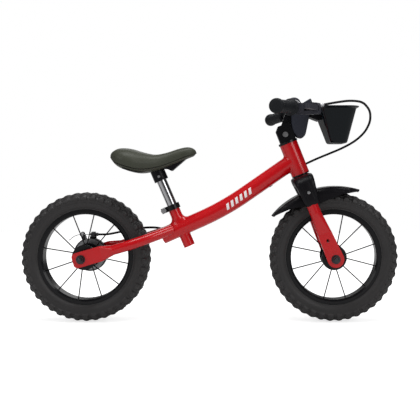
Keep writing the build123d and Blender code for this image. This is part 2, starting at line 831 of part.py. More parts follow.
with BuildPart() as fork_crown:
    with BuildSketch(steer_plane.offset(crown_bottom)):
        Rectangle(crown_width, 2 * fork_spread)
    extrude(amount=crown_height)
    add(leg_cores + [mudguard_screw], mode=Mode.SUBTRACT)
largest_crown = fork_crown.part.solids().sort_by(SortBy.VOLUME)[-1]
largest_crown.label = "fork_crown"
export_step(largest_crown, "parts/fork_crown.step")

stem_bottom = head_tube_top + headset_lip + body_gap
stem_height = 38.0
steerer_top = stem_bottom + stem_height - 3.5
stem_bolt_height = 294.7
stem_half_width = 19.0
stem_bolt_radius = 4.0
stem_bolt_left = steer_point(0, stem_half_width, stem_bolt_height)
stem_bolt_right = steer_point(0, -stem_half_width, stem_bolt_height)
stem_shank_end = (stem_bolt_right.X, -stem_half_width - 6, stem_bolt_right.Z)
stem_shank = rod(stem_shank_end, stem_bolt_left, stem_bolt_radius)

with BuildPart() as steerer_tube:
    with BuildSketch(steer_plane.offset(crown_bottom + crown_height)):
        Circle(steerer_radius)
        Circle(steerer_radius - steerer_wall, mode=Mode.SUBTRACT)
    extrude(amount=steerer_top - crown_bottom - crown_height)
    add(stem_shank, mode=Mode.SUBTRACT)
    add(mudguard_screw, mode=Mode.SUBTRACT)
steerer_tube.part.label = "steerer_tube"
export_step(steerer_tube.part, "parts/steerer_tube.step")

with BuildPart() as crown_cover:
    with BuildSketch(steer_plane.offset(cover_bottom)):
        with Locations((-3, 0)):
            RectangleRounded(31, 2 * cover_half_width - 2, 9)
    with BuildSketch(steer_plane.offset(cover_top)):
        with Locations((-1, 0)):
            RectangleRounded(48, 2 * cover_half_width, 10)
    loft()
    with BuildSketch(steer_plane.offset(cover_bottom - 5)):
        Rectangle(80, 2 * (mudguard_half_width + 1.5))
    extrude(amount=leg_top - cover_bottom + 5, mode=Mode.SUBTRACT)
    with BuildSketch(steer_plane.offset(leg_top)):
        Circle(steerer_radius)
    extrude(amount=40, mode=Mode.SUBTRACT)
    add(leg_cores + [largest_crown] + crown_screws, mode=Mode.SUBTRACT)
crown_cover_solid = crown_cover.part.solids().sort_by(SortBy.VOLUME)[-1]
crown_cover_solid.label = "crown_cover"
export_step(crown_cover_solid, "parts/crown_cover.step")
save_group("crown_screws", crown_screws + [mudguard_screw])

mudguard_axis = Axis(mudguard_centre, (0, 1, 0))
mudguard_section = Plane(origin=mudguard_centre, x_dir=(0, 1, 0), z_dir=(1, 0, 0))
skirt_radius = 84.0
with BuildPart() as front_mudguard:
    with BuildSketch(mudguard_section):
        with Locations((0, (mudguard_radius + skirt_radius) / 2)):
            RectangleRounded(2 * mudguard_half_width, mudguard_radius - skirt_radius, 14)
        with Locations((0, (mudguard_radius + skirt_radius) / 2 - mudguard_wall)):
            RectangleRounded(
                2 * (mudguard_half_width - mudguard_wall),
                mudguard_radius - skirt_radius,
                14 - mudguard_wall,
                mode=Mode.SUBTRACT,
            )
        with Locations((0, skirt_radius + 8)):
            Rectangle(80, 24, mode=Mode.SUBTRACT)
    revolve(axis=mudguard_axis)
    with BuildSketch(Plane.XZ):
        with BuildLine():
            Polyline(
                (140, 239),
                (180, 258.5),
                (199, 261),
                (222, 263),
                (248, 271.5),
                (276, 283),
                (301, 292.5),
                (337, 296),
                (350, 330),
                (130, 330),
                close=True,
            )
        make_face()
    extrude(amount=60, both=True, mode=Mode.INTERSECT)
    boss = rod(
        steer_point(0, 0, mudguard_seat - mudguard_wall - 0.6), steer_point(0, 0, crown_bottom), 9.0
    )
    add(boss)
    add(mudguard_screw, mode=Mode.SUBTRACT)
front_mudguard_solid = front_mudguard.part.solids().sort_by(SortBy.VOLUME)[-1]
front_mudguard_solid.label = "front_mudguard"
export_step(front_mudguard_solid, "parts/front_mudguard.step")

fork_inner_face = fork_spread - fork_plate_thickness / 2
fork_outer_face = fork_spread + fork_plate_thickness / 2
front_axle = make_axle(front_x, fork_outer_face + 14)
front_axle.part.label = "front_axle"
export_step(front_axle.part, "parts/front_axle.step")
front_nut_seat = fork_outer_face + washer_thickness
front_nuts = make_axle_nuts(front_x, (-front_nut_seat, front_nut_seat), 8.0)
front_washers = make_washers(front_x, (-fork_outer_face, fork_outer_face))
save_group("front_axle_nuts", front_nuts + front_washers)
front_spacer_spans = (
    (-hub_half_length - body_gap, -fork_inner_face),
    (hub_half_length + body_gap, fork_inner_face),
)
save_group("front_axle_spacers", make_spacers(front_x, front_spacer_spans))

# ---------------------------------------------------------------- stem and handlebar

bar_clamp_radius = bar_radius + 2.9
bar_hole = rod((bar_centre_x, -60, bar_centre_z), (bar_centre_x, 60, bar_centre_z), bar_radius)

with BuildPart() as stem:
    stem_left_face = Plane(origin=steer_point(0, stem_half_width, 0), x_dir=steer_side.x_dir, z_dir=(0, -1, 0))
    with BuildSketch(stem_left_face):
        with BuildLine():
            Polyline(
                (-17, stem_bottom),
                (19, stem_bottom),
                (19, stem_bottom + stem_height),
                (-9, stem_bottom + stem_height),
                (-17, stem_bottom + stem_height - 9),
                close=True,
            )
        make_face()
    extrude(amount=2 * stem_half_width)
    with BuildSketch(Plane.XZ.offset(-14)):
        with Locations((bar_centre_x, bar_centre_z)):
            Circle(bar_clamp_radius)
        with BuildLine():
            Polyline((160, 437), (181, 441), (202, 481), (178.5, 491), close=True)
        make_face()
    extrude(amount=28)
    with BuildSketch(steer_plane.offset(stem_bottom - 1)):
        Circle(steerer_radius)
    extrude(amount=steerer_top - stem_bottom + 1, mode=Mode.SUBTRACT)
    add([bar_hole, stem_shank], mode=Mode.SUBTRACT)
stem.part.label = "stem"
export_step(stem.part, "parts/stem.step")

stem_bolt = capped_bolt(stem_bolt_left, (0, 1, 0), 7.0, 5.0, stem_bolt_radius, 2 * stem_half_width + 6)
stem_nut = hex_nut(stem_bolt_right, (0, -1, 0), 12.0, 5.0, stem_bolt_radius)
save_group("stem_bolt", [stem_bolt, stem_nut])

grip_end = Vector(141.5, bar_half_width, 466.3)
bar_bend = Vector(192, 68, 474.5)
bar_rise = Vector(bar_centre_x, 38, bar_centre_z)
half_route = [bar_rise, bar_bend, grip_end]
bar_route = [Vector(p.X, -p.Y, p.Z) for p in reversed(half_route)] + half_route
with BuildPart() as handlebar:
    add(tube_along(bar_route, bar_radius, bar_radius - bar_wall))
handlebar.part.label = "handlebar"
export_step(handlebar.part, "parts/handlebar.step")


def make_grip(side):
    """Rubber sleeve with an inner flange, a closed bulb at the end and shallow ribs."""
    tip = Vector(grip_end.X, side * grip_end.Y, grip_end.Z)
    bend = Vector(bar_bend.X, side * bar_bend.Y, bar_bend.Z)
    inward = (bend - tip).normalized()
    core = rod(tip, tip + inward * (grip_length + 20), bar_radius)
    with BuildPart() as grip:
        with BuildSketch(Plane(origin=tip - inward * 2.5, z_dir=inward)):
            Circle(grip_radius)
        extrude(amount=grip_length + 2.5)
        with BuildSketch(Plane(origin=tip - inward * 2.5, z_dir=inward)):
            Circle(grip_radius + 1.8)
        extrude(amount=13)
        with BuildSketch(Plane(origin=tip + inward * (grip_length - 4), z_dir=inward)):
            Circle(grip_radius + 4.5)
        extrude(amount=4)
        ends = grip.faces().filter_by(GeomType.PLANE).sort_by(Axis(tip, -inward))[-1]
        fillet(ends.edges(), 3)
        add(core, mode=Mode.SUBTRACT)
    return grip.part


grip_right = make_grip(-1)
grip_right.label = "grip_right"
export_step(grip_right, "parts/grip_right.step")
grip_left = make_grip(1)
grip_left.label = "grip_left"
export_step(grip_left, "parts/grip_left.step")

cover_wall = 2.5
cover_half = 30.0
lobe_radius = bar_clamp_radius + body_gap + cover_wall
cover_hollow = [
    (189, 470),
    (188.5, 439),
    (193.3, 425.5),
    (200, 416.3),
    (206, 414.3),
    (211.7, 419.7),
    (216.5, 441),
    (220.7, 463),
    (230, 476),
    (224.5, 496.3),
    (203.5, 485),
]
with BuildPart() as handlebar_cover:
    with BuildSketch(Plane.XZ.offset(-cover_half)):
        with Locations((bar_centre_x, bar_centre_z)):
            Circle(lobe_radius)
        with BuildLine():
            Polyline(
                (187, 470),
                (186, 438),
                (191, 424),
                (199, 413.5),
                (207, 411),
                (214, 418),
                (219, 440),
                (223, 462),
                (233, 476),
                (226, 500),
                (203, 488),
                close=True,
            )
        make_face()
    extrude(amount=2 * cover_half)
    with BuildSketch(Plane.XZ.offset(-cover_half + cover_wall)):
        with Locations((bar_centre_x, bar_centre_z)):
            Circle(lobe_radius - cover_wall)
        with BuildLine():
            Polyline(cover_hollow, close=True)
        make_face()
    extrude(amount=2 * (cover_half - cover_wall), mode=Mode.SUBTRACT)
    with Locations((175, 0, 444)):
        Box(31, 41, 82, mode=Mode.SUBTRACT)
    add(rod((bar_centre_x, -60, bar_centre_z), (bar_centre_x, 60, bar_centre_z), 12.0), mode=Mode.SUBTRACT)
handlebar_cover_solid = handlebar_cover.part.solids().sort_by(SortBy.VOLUME)[-1]
handlebar_cover_solid.label = "handlebar_cover"
export_step(handlebar_cover_solid, "parts/handlebar_cover.step")

# ---------------------------------------------------------------- basket

basket_floor = 399.0
basket_rim = 478.5
basket_wall = 2.5
basket_lip = 5.0
top_middle = 281.0
floor_middle = 286.0
top_length = 82.0
floor_length = 38.0
top_width = 162.0
floor_width = 85.0
rear_wall_run = (top_length - floor_length) / 2 + floor_middle - top_middle
rear_lean = math.atan(rear_wall_run / (basket_rim - basket_floor))


def basket_shell(inset, bottom, top):
    """The basket's tapering body, drawn inward by an inset all round."""
    with BuildPart() as body:
        with BuildSketch(Plane.XY.offset(bottom)):
            with Locations((floor_middle, 0)):
                RectangleRounded(floor_length - 2 * inset, floor_width - 2 * inset, 12 - inset)
        with BuildSketch(Plane.XY.offset(top)):
            with Locations((top_middle, 0)):
                RectangleRounded(top_length - 2 * inset, top_width - 2 * inset, 20 - inset)
        loft()
    return body.part


rear_wall_x = floor_middle - floor_length / 2 - math.tan(rear_lean) * (463 - basket_floor)
inward_wall = (math.cos(rear_lean), 0, math.sin(rear_lean))
basket_screws = []
for across in (-14, 14):
    head = (rear_wall_x + basket_wall / math.cos(rear_lean) + 0.3, across, 463)
    basket_screws.append(capped_bolt(head, inward_wall, 4.5, 2.5, 2.0, 9.0))

basket_outer = basket_shell(0, basket_floor, basket_rim)
basket_inner = basket_shell(basket_wall, basket_floor + basket_wall, basket_rim + 0.5)
with BuildPart() as basket:
    add(basket_outer)
    with BuildSketch(Plane.XY.offset(basket_rim - 3)):
        with Locations((top_middle, 0)):
            RectangleRounded(top_length + 2 * basket_lip, top_width + 2 * basket_lip, 24)
    extrude(amount=3)
    add([basket_inner] + basket_screws, mode=Mode.SUBTRACT)
basket.part.label = "basket"
export_step(basket.part, "parts/basket.step")
save_group("basket_screws", basket_screws)

with BuildPart() as basket_bracket:
    with BuildSketch(Plane.XZ.offset(-22)):
        with BuildLine():
            Polyline((222, 458), (231, 474), (245, 474), (252, 452), (243, 450), close=True)
        make_face()
    extrude(amount=44)
    add([handlebar_cover.part, basket_outer] + basket_screws, mode=Mode.SUBTRACT)
    with BuildSketch(Plane.XZ.offset(-28)):
        with BuildLine():
            Polyline(cover_hollow, close=True)
        make_face()
    extrude(amount=56, mode=Mode.SUBTRACT)
basket_bracket_solid = basket_bracket.part.solids().sort_by(SortBy.VOLUME)[-1]
basket_bracket_solid.label = "basket_bracket"
export_step(basket_bracket_solid, "parts/basket_bracket.step")

# ---------------------------------------------------------------- hand brake lever

right_tip = Vector(grip_end.X, -grip_end.Y, grip_end.Z)
right_bend = Vector(bar_bend.X, -bar_bend.Y, bar_bend.Z)
bar_inward = (right_bend - right_tip).normalized()
perch_middle = right_tip + bar_inward * (grip_length + 13)
perch_forward = Vector(bar_inward.Y, -bar_inward.X, 0).normalized()
perch_plane = Plane(origin=perch_middle, x_dir=perch_forward, z_dir=bar_inward)
perch_half = 8.0
pivot_reach = 44.0
pivot_spot = perch_plane.from_local_coords((pivot_reach, 4, 0))
blade_half_height = 5.0
pin_radius = 2.5
slot_clearance = 0.3
lever_pin = rod(
    (pivot_spot.X, pivot_spot.Y, pivot_spot.Z - 13),
    (pivot_spot.X, pivot_spot.Y, pivot_spot.Z + 13),
    pin_radius,
)
barrel_way = (Vector(*front_cable_route[1]) - Vector(*lever_barrel_end)).normalized()
barrel_start = Vector(*lever_barrel_end) - barrel_way * barrel_length
lever_barrel = rod(barrel_start, lever_barrel_end, 4.0)

with BuildPart() as brake_perch:
    with BuildSketch(perch_plane.offset(-perch_half)):
        Circle(bar_radius + 4.4)
    extrude(amount=2 * perch_half)
    with BuildSketch(perch_plane.offset(-perch_half)) as perch_outline:
        with Locations((32, 4)):
            Rectangle(52, 24)
        fillet(perch_outline.vertices(), 5)
    extrude(amount=3 * perch_half)
    with Locations((pivot_spot.X, pivot_spot.Y, pivot_spot.Z)):
        Cylinder(9, 2 * (blade_half_height + slot_clearance), mode=Mode.SUBTRACT)
    slot = Plane(origin=pivot_spot, x_dir=perch_forward, z_dir=(0, 0, 1))
    with BuildSketch(slot.offset(-blade_half_height - slot_clearance)):
        with Locations((0, -20)):
            Rectangle(34, 40)
    extrude(amount=2 * (blade_half_height + slot_clearance), mode=Mode.SUBTRACT)
    with BuildSketch(perch_plane.offset(-30)):
        Circle(bar_radius)
    extrude(amount=60, mode=Mode.SUBTRACT)
    add([lever_pin, lever_barrel], mode=Mode.SUBTRACT)
brake_perch_solid = brake_perch.part.solids().sort_by(SortBy.VOLUME)[-1]
brake_perch_solid.label = "brake_perch"
export_step(brake_perch_solid, "parts/brake_perch.step")
lever_pin.label = "lever_pin"
export_step(lever_pin, "parts/lever_pin.step")
lever_barrel.label = "lever_barrel"
export_step(lever_barrel, "parts/lever_barrel.step")

blade_plane = Plane.XY.offset(pivot_spot.Z - blade_half_height)
blade_root = (pivot_spot.X, pivot_spot.Y)
blade_elbow = (pivot_spot.X + 3, pivot_spot.Y - 22)
blade_tip = (pivot_spot.X - 16, pivot_spot.Y - 59)
with BuildPart() as brake_lever:
    add(tapered_link(blade_plane, blade_root, 7, blade_elbow, 6, 2 * blade_half_height))
    add(tapered_link(blade_plane, blade_elbow, 6, blade_tip, 6.5, 2 * blade_half_height))
    with Locations((pivot_spot.X, pivot_spot.Y, pivot_spot.Z)):
        Cylinder(pin_radius + running_gap, 40, mode=Mode.SUBTRACT)
brake_lever.part.label = "brake_lever"
export_step(brake_lever.part, "parts/brake_lever.step")

# ---------------------------------------------------------------- seat

post_bottom = seat_tube_length - seatpost_insertion
post_top = seat_tube_length + seatpost_exposed + 10
saddle_clamp_bottom = seat_tube_length + seatpost_exposed - 10
saddle_clamp_top = seat_tube_length + seatpost_exposed + 17
saddle_bolt_height = seat_tube_length + seatpost_exposed
saddle_bolt_spot = seat_plane.from_local_coords((0, 0, saddle_bolt_height))
saddle_bolt_left = (saddle_bolt_spot.X, 16, saddle_bolt_spot.Z)
saddle_shank = rod((saddle_bolt_spot.X, -16, saddle_bolt_spot.Z), saddle_bolt_left, 3.0)

with BuildPart() as seatpost:
    with BuildSketch(seat_plane.offset(post_bottom)):
        Circle(seatpost_radius)
        Circle(seatpost_radius - seatpost_wall, mode=Mode.SUBTRACT)
    extrude(amount=post_top - post_bottom)
    add(saddle_shank, mode=Mode.SUBTRACT)
seatpost.part.label = "seatpost"
export_step(seatpost.part, "parts/seatpost.step")


def saddle_plan(inset):
    """Plan outline of the saddle: broad at the back, a narrow rounded nose."""
    half = [(-221 + inset, 12), (-214 + inset, 38), (-190, 62 - inset), (-158, 60 - inset)]
    half += [(-122, 38 - inset), (-92, 26 - inset), (-55, 22 - inset), (-38 - inset / 3, 15 - inset / 2)]
    tip = (-31 - inset, 0)
    mirrored = [(x, -y) for x, y in reversed(half)]
    with BuildSketch(Plane.XY.offset(250)) as plan:
        with BuildLine():
            Spline(*half, tip, *mirrored)
            Line(mirrored[-1], half[0])
        make_face()
    return plan.sketch


with BuildPart() as saddle_base:
    with BuildSketch(Plane.XZ.offset(-70)):
        with BuildLine():
            Polyline(
                (-46, 371), (-85, 337.5), (-93, 341.5), (-114, 342), (-154, 334), (-188, 343),
                (-188, 353), (-154, 344), (-114, 353), (-85, 361), (-60, 375), close=True,
            )
        make_face()
    extrude(amount=140)
    extrude(saddle_plan(9), amount=200, mode=Mode.INTERSECT)
saddle_base.part.label = "saddle_base"
export_step(saddle_base.part, "parts/saddle_base.step")

with BuildPart() as saddle_pad:
    with BuildSketch(Plane.XZ.offset(-70)):
        with BuildLine():
            Spline(
                (-221, 371), (-214, 383), (-199, 388.5), (-178, 387), (-150, 378), (-123, 373.5), (-98, 378),
                (-70, 389), (-51, 392), (-38, 386), (-31, 378),
            )
            Spline((-31, 378), (-50, 368), (-85, 350), (-114, 339.5), (-154, 331), (-190, 341), (-221, 371))
        make_face()
    extrude(amount=140)
    extrude(saddle_plan(0), amount=200, mode=Mode.INTERSECT)
    add(saddle_base.part, mode=Mode.SUBTRACT)
saddle_pad_solid = saddle_pad.part.solids().sort_by(SortBy.VOLUME)[-1]
saddle_pad_solid.label = "saddle_pad"
export_step(saddle_pad_solid, "parts/saddle_pad.step")

with BuildPart() as saddle_clamp:
    with BuildSketch(seat_plane.offset(saddle_clamp_bottom)):
        Circle(16)
    extrude(amount=saddle_clamp_top - saddle_clamp_bottom)
    with BuildSketch(seat_plane.offset(saddle_clamp_bottom - 1)):
        Circle(seatpost_radius)
    extrude(amount=post_top - saddle_clamp_bottom + 1, mode=Mode.SUBTRACT)
    add([saddle_base.part, saddle_pad_solid, saddle_shank], mode=Mode.SUBTRACT)
saddle_clamp_solid = saddle_clamp.part.solids().sort_by(SortBy.VOLUME)[-1]
saddle_clamp_solid.label = "saddle_clamp"
export_step(saddle_clamp_solid, "parts/saddle_clamp.step")

saddle_bolt = capped_bolt(saddle_bolt_left, (0, 1, 0), 5.0, 3.5, 3.0, 32)
saddle_bolt.label = "saddle_bolt"
export_step(saddle_bolt, "parts/saddle_bolt.step")
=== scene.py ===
# %% [markdown]
# The bike's CAD model is loaded first. It is the frame that the looks are built around, in metres: x runs
# from the rear wheel to the front wheel, y to the bike's left and z up. The soft and moulded pieces could
# be drawn in an empty scene and moved into place later, but round the real frame they fit at once.

# %% Load the frame
import math

import bmesh
import bpy
import numpy as np
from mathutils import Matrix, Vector


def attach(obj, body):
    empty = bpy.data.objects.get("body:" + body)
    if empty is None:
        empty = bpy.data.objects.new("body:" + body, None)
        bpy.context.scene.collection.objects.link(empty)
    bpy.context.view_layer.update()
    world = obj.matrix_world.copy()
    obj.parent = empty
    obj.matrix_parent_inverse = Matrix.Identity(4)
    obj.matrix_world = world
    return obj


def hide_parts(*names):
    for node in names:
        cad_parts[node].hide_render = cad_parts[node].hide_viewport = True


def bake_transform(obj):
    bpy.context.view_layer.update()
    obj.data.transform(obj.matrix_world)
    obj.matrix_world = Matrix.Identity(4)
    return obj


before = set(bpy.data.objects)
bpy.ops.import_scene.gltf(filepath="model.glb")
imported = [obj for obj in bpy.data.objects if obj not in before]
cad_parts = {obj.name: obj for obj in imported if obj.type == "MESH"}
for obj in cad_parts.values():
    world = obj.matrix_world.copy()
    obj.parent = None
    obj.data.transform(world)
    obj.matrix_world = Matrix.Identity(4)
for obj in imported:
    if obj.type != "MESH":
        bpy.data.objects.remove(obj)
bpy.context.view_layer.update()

MM = 0.001

# %% [markdown]
# Enamel, foam and moulded plastic are never one flat tone: the colour drifts a little, handling dulls
# some places, and there is a fine grain. Pictures of the surfaces could give this, but they would need a
# flat layout for every piece. Noise that reads each point's own place works on any shape, so one function
# makes every finish, and each finish below is a single call with its own numbers.

# %% One function for every finish
def finish(name, colour, roughness, metallic=0.0, coat=0.0, mottle=0.10, wear=0.06,
           grain=0.00002, grain_scale=700.0, shine=0.5):
    """Colour = base x (1 +- mottle x noise); roughness = base +- wear x noise; relief = grain x noise."""
    made = bpy.data.materials.new(name)
    made.use_nodes = True
    nodes, links = made.node_tree.nodes, made.node_tree.links
    shader = nodes["Principled BSDF"]
    place = nodes.new("ShaderNodeTexCoord")
    broad = nodes.new("ShaderNodeTexNoise")
    broad.inputs["Scale"].default_value = 23.0
    broad.inputs["Detail"].default_value = 6.0
    links.new(place.outputs["Object"], broad.inputs["Vector"])
    tone = nodes.new("ShaderNodeMix")
    tone.data_type = "RGBA"
    tone.inputs["A"].default_value = [c * (1 - mottle) for c in colour] + [1.0]
    tone.inputs["B"].default_value = [min(1.0, c * (1 + mottle)) for c in colour] + [1.0]
    links.new(broad.outputs["Fac"], tone.inputs["Factor"])
    links.new(tone.outputs["Result"], shader.inputs["Base Color"])
    dull = nodes.new("ShaderNodeMapRange")
    dull.inputs["To Min"].default_value = max(0.02, roughness - wear)
    dull.inputs["To Max"].default_value = min(1.0, roughness + wear)
    fine = nodes.new("ShaderNodeTexNoise")
    fine.inputs["Scale"].default_value = grain_scale
    fine.inputs["Detail"].default_value = 3.0
    links.new(place.outputs["Object"], fine.inputs["Vector"])
    links.new(broad.outputs["Fac"], dull.inputs["Value"])
    links.new(dull.outputs["Result"], shader.inputs["Roughness"])
    relief = nodes.new("ShaderNodeBump")
    relief.inputs["Strength"].default_value = 1.0
    relief.inputs["Distance"].default_value = grain
    links.new(fine.outputs["Fac"], relief.inputs["Height"])
    links.new(relief.outputs["Normal"], shader.inputs["Normal"])
    shader.inputs["Metallic"].default_value = metallic
    shader.inputs["Specular IOR Level"].default_value = shine
    shader.inputs["Coat Weight"].default_value = coat
    shader.inputs["Coat Roughness"].default_value = 0.06
    return made


print("finish() is ready, materials so far:", len(bpy.data.materials))

# %% [markdown]
# The frame and fork wear a red enamel with a thin clear layer, and the rims, hubs, handlebar and stem a
# black one. A coat of low roughness over a slightly rougher base gives the long soft highlights of
# painted tube. The spokes are so thin that a shiny paint would sparkle, so theirs is duller.

# %% Paints
red = (0.47, 0.0005, 0.004)
enamel = dict(coat=0.35, mottle=0.07, grain=0.000012, grain_scale=320.0, shine=0.28)
red_paint = finish("red_paint", red, 0.28, **enamel)
decal_paint = finish("red_paint_with_bars", red, 0.28, **enamel)
black_paint = finish("black_paint", (0.005, 0.005, 0.006), 0.24, coat=0.12, grain=0.00001, shine=0.14)
spoke_paint = finish("spoke_paint", (0.004, 0.004, 0.005), 0.45, grain=0.00001, shine=0.11)
print("paints:", red_paint.name, decal_paint.name, black_paint.name, spoke_paint.name)

# %% [markdown]
# The tyres are foam, the grips and the cable's skin are rubber, and the saddle is covered in a dark olive
# vinyl with a leather grain. The covers are moulded plastic: satin on the crown and mudguard, glossy on
# the basket, and a bluish slate on the handlebar cover and lever. They differ in gloss and grain more
# than in colour.

# %% Rubbers and plastics
foam = finish("tyre_foam", (0.023, 0.0215, 0.022), 0.50, mottle=0.2,
              grain=0.00010, grain_scale=900.0, shine=0.34)
rubber = finish("grip_rubber", (0.010, 0.011, 0.013), 0.55, mottle=0.2,
                grain=0.00008, grain_scale=1500.0, shine=0.14)
cable_skin = finish("cable_skin", (0.006, 0.006, 0.007), 0.34, grain=0.00001, shine=0.14)
vinyl = finish("saddle_vinyl", (0.047, 0.050, 0.037), 0.44, mottle=0.10, wear=0.08,
               grain=0.00012, grain_scale=620.0, shine=0.18)
satin_plastic = finish("satin_plastic", (0.006, 0.0055, 0.007), 0.34, wear=0.08,
                       grain=0.00004, grain_scale=1400.0, shine=0.12)
gloss_plastic = finish("gloss_plastic", (0.003, 0.005, 0.007), 0.14, wear=0.05, grain=0.00001, shine=0.15)
slate_plastic = finish("slate_plastic", (0.022, 0.024, 0.034), 0.46, wear=0.06,
                       grain=0.00006, grain_scale=1300.0, shine=0.14)
lever_plastic = finish("lever_plastic", (0.035, 0.035, 0.044), 0.42, wear=0.07,
                       grain=0.00005, grain_scale=1200.0, shine=0.16)
print("rubbers and plastics:", foam.name, rubber.name, cable_skin.name, vinyl.name, satin_plastic.name,
      gloss_plastic.name, slate_plastic.name, lever_plastic.name)

# %% [markdown]
# The seatpost is chromed, the fasteners are zinc plated, and the brake's drum and arm are duller steel.
# One metal shader serves them all, and mostly the grey and the roughness change: a mirror shows the room,
# and a rougher plate blurs it.

# %% Metals
chrome = finish("chrome", (0.40, 0.40, 0.415), 0.14, metallic=1.0, mottle=0.05, wear=0.04, grain=0.000004)
steel = finish("zinc_steel", (0.40, 0.40, 0.41), 0.32, metallic=1.0, mottle=0.14, wear=0.10, grain=0.00002)
drum_steel = finish("drum_steel", (0.27, 0.275, 0.285), 0.36, metallic=0.9, mottle=0.12, grain=0.00003)
dark_steel = finish("dark_steel", (0.06, 0.06, 0.065), 0.40, metallic=0.9, mottle=0.2,
                    wear=0.1, grain=0.00003)
print("finishes in all:", len(bpy.data.materials))

# %% [markdown]
# Each side of the main tube carries a row of pale slanted bars, as a plain trim. They could be thin
# plates laid on the tube, but plates on a round tube stand off or sink in. Here the paint itself decides,
# from a point's place along and across the tube, whether it is inside a bar, so the bars follow the tube
# exactly.

# %% Bars on the main tube
def calculate(nodes, links, operation, first, second=None):
    """One maths node; each input is a number or another node's output."""
    node = nodes.new("ShaderNodeMath")
    node.operation = operation
    for socket, value in zip(node.inputs, (first, second)):
        if value is None:
            continue
        if isinstance(value, (int, float)):
            socket.default_value = value
        else:
            links.new(value, socket)
    return node.outputs["Value"]


bar_period, bar_share, bar_slant = 0.012, 0.55, 0.45
bars_half_length, bars_half_height = 0.036, 0.0065
bars_slope = math.radians(34.8)
bars_centre_x, bars_centre_z = 0.068, 0.2771


def add_bars(made):
    """Bar = inside the strip along the tube, and inside the first 55 percent of each slanted 12 mm period."""
    nodes, links = made.node_tree.nodes, made.node_tree.links
    shader = nodes["Principled BSDF"]
    place = next(n for n in nodes if n.type == "TEX_COORD")
    split = nodes.new("ShaderNodeSeparateXYZ")
    links.new(place.outputs["Object"], split.inputs["Vector"])
    x, y, z = split.outputs["X"], split.outputs["Y"], split.outputs["Z"]
    level, rise = math.cos(bars_slope), math.sin(bars_slope)
    along = calculate(nodes, links, "ADD", calculate(nodes, links, "MULTIPLY", x, level),
                      calculate(nodes, links, "MULTIPLY", z, rise))
    across = calculate(nodes, links, "SUBTRACT", calculate(nodes, links, "MULTIPLY", z, level),
                       calculate(nodes, links, "MULTIPLY", x, rise))
    along_centre = bars_centre_x * level + bars_centre_z * rise
    across_centre = bars_centre_z * level - bars_centre_x * rise
    along = calculate(nodes, links, "SUBTRACT", along, along_centre)
    across = calculate(nodes, links, "SUBTRACT", across, across_centre)
    slanted = calculate(nodes, links, "SUBTRACT", along,
                        calculate(nodes, links, "MULTIPLY", across, bar_slant))
    phase = calculate(nodes, links, "FRACT", calculate(nodes, links, "DIVIDE", slanted, bar_period))
    in_bar = calculate(nodes, links, "LESS_THAN", phase, bar_share)
    from_middle = calculate(nodes, links, "ABSOLUTE", slanted)
    in_length = calculate(nodes, links, "LESS_THAN", from_middle, bars_half_length)
    from_line = calculate(nodes, links, "ABSOLUTE", across)
    in_height = calculate(nodes, links, "LESS_THAN", from_line, bars_half_height)
    on_side = calculate(nodes, links, "GREATER_THAN", calculate(nodes, links, "ABSOLUTE", y), 0.010)
    mask = calculate(nodes, links, "MULTIPLY", calculate(nodes, links, "MULTIPLY", in_bar, in_length),
                     calculate(nodes, links, "MULTIPLY", in_height, on_side))
    base = shader.inputs["Base Color"].links[0].from_socket
    mix = nodes.new("ShaderNodeMix")
    mix.data_type = "RGBA"
    links.new(mask, mix.inputs["Factor"])
    links.new(base, mix.inputs["A"])
    mix.inputs["B"].default_value = (0.80, 0.76, 0.76, 1.0)
    links.new(mix.outputs["Result"], shader.inputs["Base Color"])


add_bars(decal_paint)
print("bars added to", decal_paint.name, "nodes:", len(decal_paint.node_tree.nodes))

# %% [markdown]
# Every CAD node gets its finish here, from one table, so nothing is left grey. What the table doesn't
# name is a plated fastener or bearing. The pieces further down then stand in for the nodes whose real
# shape is softer or finer than the CAD one.

# %% Finish for each node
node_finish = {
    red_paint: ["head_tube", "seat_tube", "chainstay_left", "chainstay_right",
                "fork_leg_left", "fork_leg_right"],
    decal_paint: ["main_tube"],
    black_paint: ["front_rim", "rear_rim", "front_hub", "rear_hub", "seat_clamp", "stem",
                  "steerer_tube", "fork_crown", "handlebar", "headset_cups", "brake_band"],
    spoke_paint: ["front_spokes", "rear_spokes"],
    satin_plastic: ["front_mudguard", "crown_cover", "saddle_base", "saddle_clamp",
                    "basket_bracket", "cable_clips"],
    gloss_plastic: ["basket"],
    slate_plastic: ["handlebar_cover"],
    lever_plastic: ["brake_perch", "brake_lever"],
    rubber: ["grip_left", "grip_right"],
    cable_skin: ["brake_cable_front", "brake_cable_rear"],
    foam: ["front_tyre", "rear_tyre"],
    vinyl: ["saddle_pad"],
    chrome: ["seatpost"],
    drum_steel: ["brake_drum"],
    dark_steel: ["brake_arm", "brake_carrier", "brake_bolts", "brake_cable_stop", "front_axle", "rear_axle",
                 "front_axle_nuts", "rear_axle_nuts"],
}
given = {node: made for made, nodes in node_finish.items() for node in nodes}
for name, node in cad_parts.items():
    node.data.materials.clear()
    node.data.materials.append(given.get(name, steel))
print("plated steel:", sorted(set(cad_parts) - set(given)))

# %% [markdown]
# The new shapes are surfaces: rows of points, where each row is a ring or a strip of the piece. Such a
# surface could be pushed and pulled by hand, but a formula can be read and changed. One function turns
# point grids into a closed mesh. It joins points that fall on each other, such as a pole or a seam, turns
# the faces outwards and marks the sharp edges. The other makes it a piece, with its finish, the body that
# it rides on and the CAD nodes that it stands for.

